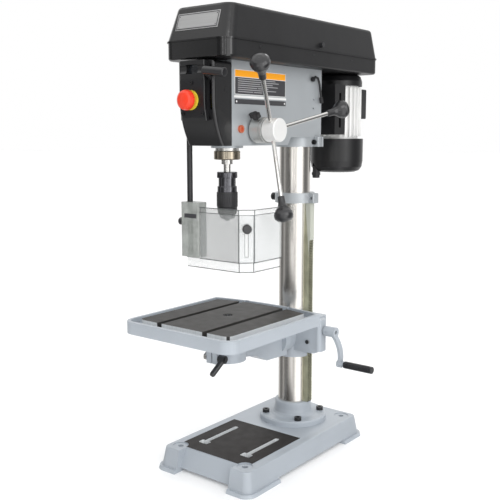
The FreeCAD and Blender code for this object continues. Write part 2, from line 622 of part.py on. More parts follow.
def make_quill():
    body = tube(QUILL_R, 18, (0, SPINDLE_Y, QUILL_BOTTOM), Z_AXIS, QUILL_TOP - QUILL_BOTTOM)
    root = QUILL_RACK_Y - 1.2 * GEAR_MODULE
    tip = QUILL_RACK_Y + GEAR_MODULE
    teeth = comb(728, 846, root, tip, FEED_Z + PITCH / 2, 0.84)
    clear = box(-8, 8, root, SPINDLE_Y + 30, teeth[0][0], teeth[-1][0])
    outline = [(SPINDLE_Y + 20, teeth[0][0])] + [(reach, height) for height, reach in teeth]
    outline.append((SPINDLE_Y + 20, teeth[-1][0]))
    rack = polygon(outline, "x", -8, 16)
    body = body.cut(clear).fuse(rack.common(rod(QUILL_R, (0, SPINDLE_Y, 700), Z_AXIS, 200)))
    save("quill", body.cut(rod(18, (0, SPINDLE_Y, 600), Z_AXIS, 400)).removeSplitter())
    ring = [(12.4, 688.6), (26.5, 688.6), (28, 690), (28, 705.5), (26.5, QUILL_BOTTOM),
            (12.4, QUILL_BOTTOM)]
    save("quill_collar", turned(ring, 0, SPINDLE_Y))
    races = []
    for low in (QUILL_BOTTOM + 2, QUILL_TOP - 18):
        races.append(tube(17.98, 12 + FIT, (0, SPINDLE_Y, low), Z_AXIS, 14))
    save("quill_bearings", *races)


def flatted(radius, flat, low, high):
    """Shaft or bore with two driving flats."""
    bar = rod(radius, (0, SPINDLE_Y, low), Z_AXIS, high - low)
    return bar.common(box(-radius, radius, SPINDLE_Y - flat, SPINDLE_Y + flat, low, high))


def make_spindle():
    lower = turned([(0, 640), (7.0, 640), (7.5, 662), (7.5, 679), (12, 679), (12, 866), (8, 867),
                    (0, 867)], 0, SPINDLE_Y)
    drive = flatted(8, 6, 866, 972)
    save("spindle", fuse(lower, drive))
    body = turned([(0, 663), (20.8, 663), (21.75, 661.5), (21.75, 651.5), (20.8, 650), (18.3, 650),
                   (18.3, 633), (20.0, 633), (20.75, 631.5), (20.75, 621), (17, 621), (17, 572.5),
                   (16.5, 572), (16.5, 567), (14, 564), (0, 564)], 0, SPINDLE_Y)
    notches = []
    for k in range(12):
        notch = box(20.4, 24, SPINDLE_Y - 1.6, SPINDLE_Y + 1.6, 649, 656)
        notches.append(around(notch, (0, SPINDLE_Y, 0), Z_AXIS, 30 * k))
    socket = turned([(0, 639.5), (7.05, 639.5), (7.55, 662), (7.55, 664), (0, 664)], 0, SPINDLE_Y)
    bore = rod(7.6, (0, SPINDLE_Y, 550), Z_AXIS, 62)
    save("chuck_body", cut(body, socket, bore, *notches))
    sleeve = turned([(17.1, 620.5), (21.8, 620.5), (22.4, 619.5), (22.4, 590), (21.2, 588.5),
                     (21.2, 582), (20.4, 581), (20.4, 578), (19, 573.5), (17.1, 573.5)], 0, SPINDLE_Y)
    grooves = []
    for k in range(30):
        a = 2 * math.pi * k / 30
        grooves.append(rod(1.2, (23.0 * math.cos(a), SPINDLE_Y + 23.0 * math.sin(a), 592), Z_AXIS, 26))
    save("chuck_sleeve", cut(sleeve, *grooves))
    cone = turned([(0, 559), (4.6, 559), (7.5, 565), (7.5, 598), (0, 598)], 0, SPINDLE_Y)
    jaws = []
    for k in range(3):
        sector = polygon([(1.2, -1.0), (12, -14), (12, 14), (1.2, 1.0)], "z", 555, 50)
        sector.translate(V(0, SPINDLE_Y, 0))
        jaws.append(around(sector, (0, SPINDLE_Y, 0), Z_AXIS, 90 + 120 * k).common(cone))
    save("chuck_jaws", *jaws)


def sheave(r_in, r_out, low, high, rise, facing_up):
    """One conical half of a variable-speed pulley."""
    if facing_up:
        return [(r_in, low), (r_out, high - rise - 3), (r_out, high - rise), (r_in, high)]
    return [(r_in, high), (r_out, low + rise + 3), (r_out, low + rise), (r_in, low)]


def make_pulleys():
    lower = turned(sheave(10, 58, 903, BELT_Z - 5.5, 10.5, True), 0, SPINDLE_Y)
    sleeve = rod(SLEEVE_R, (0, SPINDLE_Y, 872), Z_AXIS, 93)
    pulley = fuse(lower, sleeve).cut(flatted(8 + FIT, 6 + FIT, 860, 980))
    save("spindle_pulley", pulley)
    upper = turned(sheave(SLEEVE_R + FIT, 58, BELT_Z + 5.5, 962, 10.5, False), 0, SPINDLE_Y)
    save("spindle_sheave", upper)
    low = turned(sheave(8.02, 45, 903, BELT_Z - 5.5, 10.5, True), 0, MOTOR_Y)
    high = turned(sheave(8.02, 45, BELT_Z + 5.5, 962, 10.5, False), 0, MOTOR_Y)
    hub = tube(16, 8.02, (0, MOTOR_Y, 910), Z_AXIS, 50)
    save("motor_pulley", fuse(low, high, hub))
    outer = belt_loop(SPINDLE_BELT_R + 4, MOTOR_BELT_R + 4, BELT_Z - 11, 22)
    inner = belt_loop(SPINDLE_BELT_R - 4, MOTOR_BELT_R - 4, BELT_Z - 12, 24)
    save("drive_belt", outer.cut(inner))


def belt_loop(front_r, rear_r, low, height):
    """Two discs and the straight stretch that is tangent to both."""
    lean = math.asin((front_r - rear_r) / (MOTOR_Y - SPINDLE_Y))
    side = math.cos(lean)
    along = math.sin(lean)
    corners = [(front_r * side, SPINDLE_Y + front_r * along), (rear_r * side, MOTOR_Y + rear_r * along),
               (-rear_r * side, MOTOR_Y + rear_r * along), (-front_r * side, SPINDLE_Y + front_r * along)]
    return fuse(polygon(corners, "z", low, height),
                rod(front_r, (0, SPINDLE_Y, low), Z_AXIS, height),
                rod(rear_r, (0, MOTOR_Y, low), Z_AXIS, height))


# ---- feed --------------------------------------------------------------------------------------------
FEED_ANGLES = (15, 135, 255)             # knobs, from the rear upward
KNOB_RADIUS = 176.0
KNOB_X = 154.0
ARM_ROOT = (94.0, 12.0)


def arm_direction(angle):
    run = KNOB_X - ARM_ROOT[0]
    rise = KNOB_RADIUS - ARM_ROOT[1]
    size = math.hypot(run, rise)
    a = math.radians(angle)
    return (run / size, rise * math.cos(a) / size, rise * math.sin(a) / size)


def make_feed():
    pinion = gear(FEED_TEETH, GEAR_MODULE, 15)
    pinion = align_tooth(lay(pinion, X_AXIS, (0, 0, 0)), X_AXIS, (0, -1, 0))
    pinion.translate(V(-7.5, FEED_Y, FEED_Z))
    shaft = rod(7, (-66, FEED_Y, FEED_Z), X_AXIS, 176)
    save("feed_shaft", fuse(pinion, shaft))
    hub = rod(24.5, (80, FEED_Y, FEED_Z), X_AXIS, 32)
    hub = hub.makeFillet(2.5, [e for e in hub.Edges if len(e.Vertexes) == 1])
    sleeve = rod(12, (50.6, FEED_Y, FEED_Z), X_AXIS, 30)
    holes = [rod(7.02, (40, FEED_Y, FEED_Z), X_AXIS, 70)]
    arms = []
    knobs = []
    for angle in FEED_ANGLES:
        d = arm_direction(angle)
        a = math.radians(angle)
        start = (ARM_ROOT[0], FEED_Y + ARM_ROOT[1] * math.cos(a), FEED_Z + ARM_ROOT[1] * math.sin(a))
        size = math.hypot(KNOB_X - ARM_ROOT[0], KNOB_RADIUS - ARM_ROOT[1])
        arms.append(rod(4.4, start, d, size - 22))
        holes.append(rod(4.42, start, d, 40))
        knob = turned([(4.42, 0), (7.2, 0), (7.9, 14), (10, 21), (15.5, 28), (19, 34.5), (20, 40),
                       (18.6, 45.5), (14, 49.5), (7, 51.8), (0, 52.2), (0, 18.5), (4.42, 18.5)], 0, 0)
        base = tuple(s + c * (size - 40) for s, c in zip(start, d))
        knobs.append(lay(knob, d, base))
    save("feed_hub", cut(fuse(hub, sleeve), *holes))
    save("feed_arms", *arms)
    save("feed_knobs", *knobs)
    ring = tube(27, 12 + FIT, (50.8, FEED_Y, FEED_Z), X_AXIS, 28.8)
    ring = ring.cut(tube(30, 25.5, (73.5, FEED_Y, FEED_Z), X_AXIS, 2.0))
    d = (0, -0.63, 0.7766)
    seat = (64.5, FEED_Y, FEED_Z)
    save("depth_ring", ring.cut(rod(2.6, seat, d, 40)))
    at = tuple(s + 31 * c for s, c in zip(seat, d))
    foot = tuple(s + 13 * c for s, c in zip(seat, d))
    knob = fuse(rod(2.5, foot, d, 20), rod(7, at, d, 13))
    wing = slab(-13, 13, -5, 5, 3, 12, 4.5)
    save("depth_lock_knob", fuse(knob, lay(wing, d, at)))
    cap = tube(28, 25, (-72, FEED_Y, FEED_Z), X_AXIS, 21.6)
    disc = tube(28, 7.4, (-72, FEED_Y, FEED_Z), X_AXIS, 2.5)
    save("spring_cap", fuse(cap, disc))
    turns = 3.25
    steps = 52
    inside = []
    outside = []
    for k in range(steps + 1):
        a = 2 * math.pi * turns * k / steps
        r = 9.5 + 14.6 * k / steps
        inside.append((r * math.cos(a), r * math.sin(a)))
        outside.append(((r + 0.8) * math.cos(a), (r + 0.8) * math.sin(a)))
    coil = polygon(inside + outside[::-1], "z", 0, 13)
    save("return_spring", lay(coil, X_AXIS, (-67, FEED_Y, FEED_Z)))


# ---- belt cover ----------------------------------------------------------------------------------------
HINGE_X = -COVER_HALF_X - 3.2
HINGES = (-290, 185)
LATCH = (-26.0, 938.0)


def cover_rectangle(inset_x, inset_front, inset_rear, z, corner):
    x = COVER_HALF_X - inset_x
    return rectangle_wire(-x, x, COVER_FRONT + inset_front, COVER_REAR - inset_rear, z, corner)


def make_cover():
    t = COVER_WALL
    z0 = COVER_BOTTOM
    z1 = COVER_PARTING
    pan = Part.Face(cover_rectangle(0, 0, 0, z0, COVER_CORNER)).extrude(V(0, 0, z1 - z0))
    pan = soften(pan, 5.0, lambda m, e: abs(m.z - z0) < 0.05)
    lip = Part.Face(cover_rectangle(-2.2, -2.2, -2.2, z1 - 3, COVER_CORNER + 2)).extrude(V(0, 0, 3))
    room = Part.Face(cover_rectangle(t, t, t, z0 + t, COVER_CORNER - t)).extrude(V(0, 0, z1))
    holes = [rod(30, (0, SPINDLE_Y, z0 - 5), Z_AXIS, 20), rod(30, (0, MOTOR_Y, z0 - 5), Z_AXIS, 20)]
    pan = fuse(pan, lip)
    lid_low = z1 + 0.3
    top = COVER_TOP
    lid = tapered(cover_rectangle(0, 0, 0, lid_low, COVER_CORNER), cover_rectangle(11, 23, 10, top, 24))
    lid = soften(lid, 8.0, lambda m, e: abs(m.z - top) < 0.05)
    lid_room = tapered(cover_rectangle(t, t, t, lid_low - 0.01, COVER_CORNER - t),
                       cover_rectangle(10.5 + t, 22.5 + t, 9.5 + t, top - t, 21))
    lid = lid.cut(lid_room)
    pins = []
    for y in HINGES:
        pan = fuse(pan, rod(3.8, (HINGE_X, y - 15, z1), Y_AXIS, 14.7),
                   box(HINGE_X, -COVER_HALF_X + 1, y - 15, y - 0.3, z1 - 3.5, z1))
        lid_eye = rod(3.8, (HINGE_X, y + 0.3, z1), Y_AXIS, 14.7)
        leaf = box(HINGE_X, -COVER_HALF_X + 1.5, y + 0.3, y + 15, lid_low, z1 + 3.8)
        lid = fuse(lid, lid_eye, leaf)
        pan = cut(pan, rod(4.2, (HINGE_X, y + 0.0, z1), Y_AXIS, 15.4))
        lid = cut(lid, rod(1.8 + FIT, (HINGE_X, y - 1, z1), Y_AXIS, 18),
                  rod(4.2, (HINGE_X, y - 15.4, z1), Y_AXIS, 15.4))
        pins.append(rod(1.8, (HINGE_X, y - 16, z1), Y_AXIS, 32))
        pan = cut(pan, rod(1.8, (HINGE_X, y - 16, z1), Y_AXIS, 32))
    boss = lay(tube(7, 3.05, (0, 0, 0), Z_AXIS, 8), X_AXIS, (74, LATCH[0], LATCH[1]))
    lid = fuse(lid, boss.common(lid_room)).cut(rod(3 + FIT, (70, LATCH[0], LATCH[1]), X_AXIS, 30))
    save("cover_pan", cut(pan, room, *holes))
    save("cover_lid", lid)
    outside = 85.6
    knob = fuse(rod(3, (70, LATCH[0], LATCH[1]), X_AXIS, 17), rod(5.5, (outside, LATCH[0], LATCH[1]),
                X_AXIS, 7), box(68, 71, LATCH[0] - 3, LATCH[0] + 3, LATCH[1] - 13, LATCH[1] + 3))
    save("lid_latch_knob", knob)
    return pins


# ---- motor ---------------------------------------------------------------------------------------------
def make_motor():
    low = 731
    high = 860
    body = rod(MOTOR_R - 6, (0, MOTOR_Y, low), Z_AXIS, high - low)
    fins = []
    for k in range(28):
        fin = box(MOTOR_R - 10, MOTOR_R + 2, -1.5, 1.5, low + 6, high - 4)
        fin.translate(V(0, MOTOR_Y, 0))
        angle = 360 / 28 * k
        if abs(angle - 90) > 40:
            fins.append(around(fin, (0, MOTOR_Y, 0), Z_AXIS, angle))
    foot = box(-32, 32, 92, 150, 756, 844)
    rear = box(-36, 36, MOTOR_Y + 30, 241, 785, 851)
    body = fuse(body, foot, rear, *fins).cut(rod(34, (0, MOTOR_Y, low - 1), Z_AXIS, 140))
    save("motor_body", body)
    bell = turned([(8.1, high), (61, high), (61, 872), (57, 883), (50, 888), (8.1, 888)], 0, MOTOR_Y)
    save("motor_end_bell", bell)
    cowl = turned([(12, 648), (46, 648), (57, 652), (63.5, 661), (66, 676), (66, low), (63.4, low),
                   (63.4, 677), (61, 663), (55.5, 655), (45, 651), (12, 651)], 0, MOTOR_Y)
    slots = []
    for k in range(20):
        slot = box(20, 42, MOTOR_Y - 1.6, MOTOR_Y + 1.6, 640, 660)
        slots.append(around(slot, (0, MOTOR_Y, 0), Z_AXIS, 18 * k))
    gland_at = (-30, 137)
    slots.append(rod(9, (gland_at[0], gland_at[1], 630), Z_AXIS, 40))
    save("fan_cowl", cut(cowl, *slots))
    gland = fuse(rod(8.95, (gland_at[0], gland_at[1], 646), Z_AXIS, 16),
                 hexagon(21, (gland_at[0], gland_at[1], 640), Z_AXIS, 7),
                 rod(9, (gland_at[0], gland_at[1], 633), Z_AXIS, 8))
    save("cable_gland", gland.cut(rod(4, (gland_at[0], gland_at[1], 620), Z_AXIS, 60)))
    shaft = rod(8, (0, MOTOR_Y, 668), Z_AXIS, 296)
    rotor = rod(33, (0, MOTOR_Y, 760), Z_AXIS, 70)
    blades = [rod(16, (0, MOTOR_Y, 690), Z_AXIS, 24)]
    for k in range(7):
        blade = box(10, 54, MOTOR_Y - 1.2, MOTOR_Y + 1.2, 692, 714)
        blades.append(around(blade, (0, MOTOR_Y, 0), Z_AXIS, 360 / 7 * k))
    fan = fuse(*blades).cut(rod(8, (0, MOTOR_Y, 600), Z_AXIS, 200))
    save("motor_rotor", fuse(shaft, rotor), fan)
    lid = slab(-40, 40, 241, 262, 781, 855, 3)
    save("terminal_box", soften(lid, 3.0, lambda m, e: m.y > 260 and abs(m.z - 818) > 30))
    back = box(-56, 56, 84, 92, 741, 860)
    sides = []
    cuts = []
    for x in (-56, 50):
        sides.append(box(x, x + 6, 84, 131, 741, 860))
        for z in (758, 808):
            cuts.append(box(x - 1, x + 7, 103, 112, z, z + 32))
    arms = [rod(9, (0, HEAD_REAR, z), Y_AXIS, 84 - HEAD_REAR) for z in (775, 835)]
    save("motor_bracket", cut(fuse(back, *sides, *arms), *cuts))


def make_lock_lever():
    pivot = rod(4, (38, -4, 866), X_AXIS, 17)
    route = [(54, -4, 866), (54, 1, 871.5), (54, 12, 869), (54, 18.5, 857), (54, 27, 822)]
    pieces = [pivot]
    for a, b in zip(route, route[1:]):
        step = V(*b) - V(*a)
        pieces.append(rod(2.6, a, (step.x, step.y, step.z), step.Length))
        pieces.append(Part.makeSphere(2.6, V(*a)))
    pieces.append(rod(4.4, (54, 25.5, 826), (0, 0.236, -0.972), 13))
    pieces.append(rod(5.5, (49.5, -4, 866), X_AXIS, 4))
    save("motor_lock_lever", fuse(*pieces))


# ---- guard ---------------------------------------------------------------------------------------------
def guard_outline(inset, start_x, thickness):
    """Plan of a shield: front wall, 45 degree corner, right-hand wall."""
    front = -312 + inset
    right = GUARD_RIGHT - inset
    corner = 23 - inset * (2 - math.sqrt(2))
    rear = -196
    outer = [(start_x, front), (right - corner, front), (right, front + corner), (right, rear)]
    t = thickness
    inner_corner = corner - t * (2 - math.sqrt(2))
    inner = [(right - t, rear), (right - t, front + t + inner_corner),
             (right - t - inner_corner, front + t), (start_x, front + t)]
    return outer + inner


def make_guard():
    diagonal = (math.sqrt(0.5), -math.sqrt(0.5), 0)
    shield = polygon(guard_outline(0, -62, 3), "z", GUARD_BOTTOM, GUARD_TOP - GUARD_BOTTOM)
    block = slab(-74, -25, -316, -288, GUARD_BOTTOM + 2, 600, 3)
    middle = (91.5, -300.5)
    slot = box(-3.2, 3.2, -9, 9, GUARD_SCREW_Z - 58, GUARD_SCREW_Z + 9)
    slot.rotate(V(0, 0, 0), V(0, 0, 1), 45)
    slot.translate(V(middle[0], middle[1], 0))
    rod_hole = rod(6.02, (GUARD_ROD_X, GUARD_ROD_Y, 480), Z_AXIS, 200)
    screw_hole = rod(3.05, (-90, GUARD_ROD_Y, 557), X_AXIS, 32)
    save("guard_shield", cut(fuse(shield, block), slot, rod_hole, screw_hole))
    lower = polygon(guard_outline(3.4, -62, 2.6), "z", GUARD_BOTTOM - 20, 118)
    behind = (middle[0] - 20 * diagonal[0], middle[1] - 20 * diagonal[1], GUARD_SCREW_Z)
    hole = rod(3.05, behind, diagonal, 30)
    block_room = box(-90, -24.4, -330, -280, GUARD_BOTTOM + 1.6, 700)
    save("guard_lower_shield", cut(lower, hole, block_room))
    shaft = rod(6, (GUARD_ROD_X, GUARD_ROD_Y, 488), Z_AXIS, 334.5)
    stop = rod(10, (GUARD_ROD_X, GUARD_ROD_Y, 762), Z_AXIS, 7.5)
    save("guard_rod", fuse(shaft, stop))
    clamp = slab(-73, -HEAD_HALF_X, -316, -288, 770, 812, 5)
    save("guard_clamp", clamp.cut(rod(6 + FIT, (GUARD_ROD_X, GUARD_ROD_Y, 700), Z_AXIS, 200)))
    seat = (middle[0] + 0.6 * diagonal[0], middle[1] + 0.6 * diagonal[1], GUARD_SCREW_Z)
    knob = turned([(0, 0), (7, 0), (7, 3), (9.5, 4.5), (9.5, 12), (8, 14), (0, 14)], 0, 0)
    start = tuple(s - 7.5 * c for s, c in zip(seat, diagonal))
    save("guard_shield_knob", fuse(lay(knob, diagonal, seat), rod(3, start, diagonal, 8)))
    side = (-74.3, GUARD_ROD_Y, 557)
    knob = turned([(0, 0), (6, 0), (6, 3), (8.2, 4.5), (8.2, 13), (7, 15), (0, 15)], 0, 0)
    save("guard_rod_knob", fuse(lay(knob, (-1, 0, 0), side), rod(3, (-66.1, GUARD_ROD_Y, 557),
                                                                 (-1, 0, 0), 9)))


# ---- small fixed fasteners -------------------------------------------------------------------------------
def make_fasteners(pins):
    clamp = cap_screw(3.5, (47, 12, 723.6), Y_AXIS, 30, 5.5, 5)
    plug = cap_screw(4.15, (HEAD_HALF_X, -264, 752), (-1, 0, 0), 14, 8, 4)
    screws = [cap_screw(1.95, (x, -361.8, z), Y_AXIS, 11, 3.4, 2.2) for x, z in PANEL_SCREWS[:1]]
    screws += [cap_screw(1.95, (x, -359.6, z), Y_AXIS, 9, 3.4, 2.2) for x, z in PANEL_SCREWS[1:]]
    stem = rod(4.0, (-37, -6, 594), (-1, 0, 0), 16)
    head = turned([(0, 0), (7.5, 0), (9, 1.5), (9, 9.5), (7.5, 11), (0, 11)], 0, 0)
    collar_screw = fuse(stem, lay(head, (-1, 0, 0), (-50, -6, 594)))
    save("head_fasteners", clamp, plug, collar_screw, *screws, *pins)


def main():
    os.makedirs("parts", exist_ok=True)
    make_base()
    make_flange()
    make_column()
    make_rack()
    make_rack_collar()
    make_table_bracket()
    make_table_gears()
    make_crank()
    make_table()
    make_table_arm()
    make_head()
    make_front_housing()
    make_estop()
    make_speed_lever()
    make_quill()
    make_spindle()
    make_pulleys()
    make_feed()
    hinge_pins = make_cover()
    make_motor()
    make_lock_lever()
    make_guard()
    make_fasteners(hinge_pins)


main()
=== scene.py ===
import math

import bmesh
import bpy
from mathutils import Matrix, Vector


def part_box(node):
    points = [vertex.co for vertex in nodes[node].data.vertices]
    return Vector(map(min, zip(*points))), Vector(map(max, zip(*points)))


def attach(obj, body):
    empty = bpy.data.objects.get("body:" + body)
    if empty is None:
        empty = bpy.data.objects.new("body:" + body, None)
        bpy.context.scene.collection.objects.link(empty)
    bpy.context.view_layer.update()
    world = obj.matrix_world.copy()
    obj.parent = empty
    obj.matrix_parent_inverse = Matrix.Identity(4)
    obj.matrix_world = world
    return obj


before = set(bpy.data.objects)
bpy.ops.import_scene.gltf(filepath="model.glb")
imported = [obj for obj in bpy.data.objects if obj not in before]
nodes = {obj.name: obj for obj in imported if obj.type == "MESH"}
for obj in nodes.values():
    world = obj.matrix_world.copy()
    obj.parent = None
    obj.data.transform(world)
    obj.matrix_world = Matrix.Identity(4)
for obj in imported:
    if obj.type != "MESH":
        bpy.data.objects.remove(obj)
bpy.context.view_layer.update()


# ---- materials -------------------------------------------------------------------------------------
# sockets of the colour mix node, which share their names
MIX_FACTOR = 0
MIX_FIRST = 6
MIX_SECOND = 7
MIX_RESULT = 2


def link(tree, a, b):
    """Joins output a to input b."""
    tree.links.new(a, b)


def new_node(tree, kind, **values):
    """Shader node of that kind, with its settings."""
    made = tree.nodes.new(kind)
    for key, value in values.items():
        setattr(made, key, value)
    return made


def material(name, color, rough=0.4, metal=0.0, coat=0.0, coat_rough=0.1, shade=0.08, shade_scale=9.0,
             rough_vary=0.06, rough_scale=30.0, bump=0.1, bump_scale=400.0, stretch=(1, 1, 1),
             depth=0.0004, alpha=1.0, specular=0.5, worn_edge=0.0):
    """Painted, plated or moulded surface: soft colour drift, uneven roughness and a fine grain.

    worn_edge is the share of a paler tone on worn convex edges.
    """
    mat = bpy.data.materials.new(name)
    mat.use_nodes = True
    tree = mat.node_tree
    shader = tree.nodes["Principled BSDF"]
    shader.inputs["Metallic"].default_value = metal
    shader.inputs["Coat Weight"].default_value = coat
    shader.inputs["Coat Roughness"].default_value = coat_rough
    shader.inputs["Specular IOR Level"].default_value = specular
    shader.inputs["Alpha"].default_value = alpha
    where = new_node(tree, "ShaderNodeTexCoord")
    mapping = new_node(tree, "ShaderNodeMapping")
    mapping.inputs["Scale"].default_value = stretch
    link(tree, where.outputs["Object"], mapping.inputs["Vector"])

    drift = new_node(tree, "ShaderNodeTexNoise")
    drift.inputs["Scale"].default_value = shade_scale
    drift.inputs["Detail"].default_value = 4.0
    link(tree, mapping.outputs["Vector"], drift.inputs["Vector"])
    ramp = new_node(tree, "ShaderNodeValToRGB")
    ramp.color_ramp.elements[0].position = 0.3
    ramp.color_ramp.elements[1].position = 0.7
    ramp.color_ramp.elements[0].color = [c * (1 - shade) for c in color] + [1]
    ramp.color_ramp.elements[1].color = [min(1, c * (1 + shade)) for c in color] + [1]
    link(tree, drift.outputs["Fac"], ramp.inputs["Fac"])
    paint = ramp.outputs["Color"]
    if worn_edge:
        shape = new_node(tree, "ShaderNodeNewGeometry")
        edge = new_node(tree, "ShaderNodeValToRGB")
        edge.color_ramp.elements[0].position = 0.50
        edge.color_ramp.elements[1].position = 0.60
        edge.color_ramp.elements[0].color = (0, 0, 0, 1)
        edge.color_ramp.elements[1].color = (worn_edge, worn_edge, worn_edge, 1)
        link(tree, shape.outputs["Pointiness"], edge.inputs["Fac"])
        mix = new_node(tree, "ShaderNodeMix", data_type="RGBA")
        link(tree, edge.outputs["Color"], mix.inputs[MIX_FACTOR])
        link(tree, paint, mix.inputs[MIX_FIRST])
        mix.inputs[MIX_SECOND].default_value = [min(1, c * 1.4 + 0.02) for c in color] + [1]
        paint = mix.outputs[MIX_RESULT]
    link(tree, paint, shader.inputs["Base Color"])

    uneven = new_node(tree, "ShaderNodeTexNoise")
    uneven.inputs["Scale"].default_value = rough_scale
    uneven.inputs["Detail"].default_value = 6.0
    link(tree, mapping.outputs["Vector"], uneven.inputs["Vector"])
    span = new_node(tree, "ShaderNodeMapRange")
    span.inputs["To Min"].default_value = max(0.02, rough - rough_vary)
    span.inputs["To Max"].default_value = min(1.0, rough + rough_vary)
    link(tree, uneven.outputs["Fac"], span.inputs["Value"])
    link(tree, span.outputs["Result"], shader.inputs["Roughness"])

    if bump:
        grain = new_node(tree, "ShaderNodeTexNoise")
        grain.inputs["Scale"].default_value = bump_scale
        grain.inputs["Detail"].default_value = 3.0
        link(tree, mapping.outputs["Vector"], grain.inputs["Vector"])
        relief = new_node(tree, "ShaderNodeBump")
        relief.inputs["Strength"].default_value = bump
        relief.inputs["Distance"].default_value = depth
        link(tree, grain.outputs["Fac"], relief.inputs["Height"])
        link(tree, relief.outputs["Normal"], shader.inputs["Normal"])
    return mat


def brushed(name, color, rough, stretch, bump=0.12, shade=0.06):
    """Ground or turned metal: long fine scratches along one direction."""
    return material(name, color, rough=rough, metal=1.0, shade=shade, shade_scale=60.0, rough_vary=0.07,
                    rough_scale=160.0, bump=bump, bump_scale=900.0, stretch=stretch, depth=0.0002)


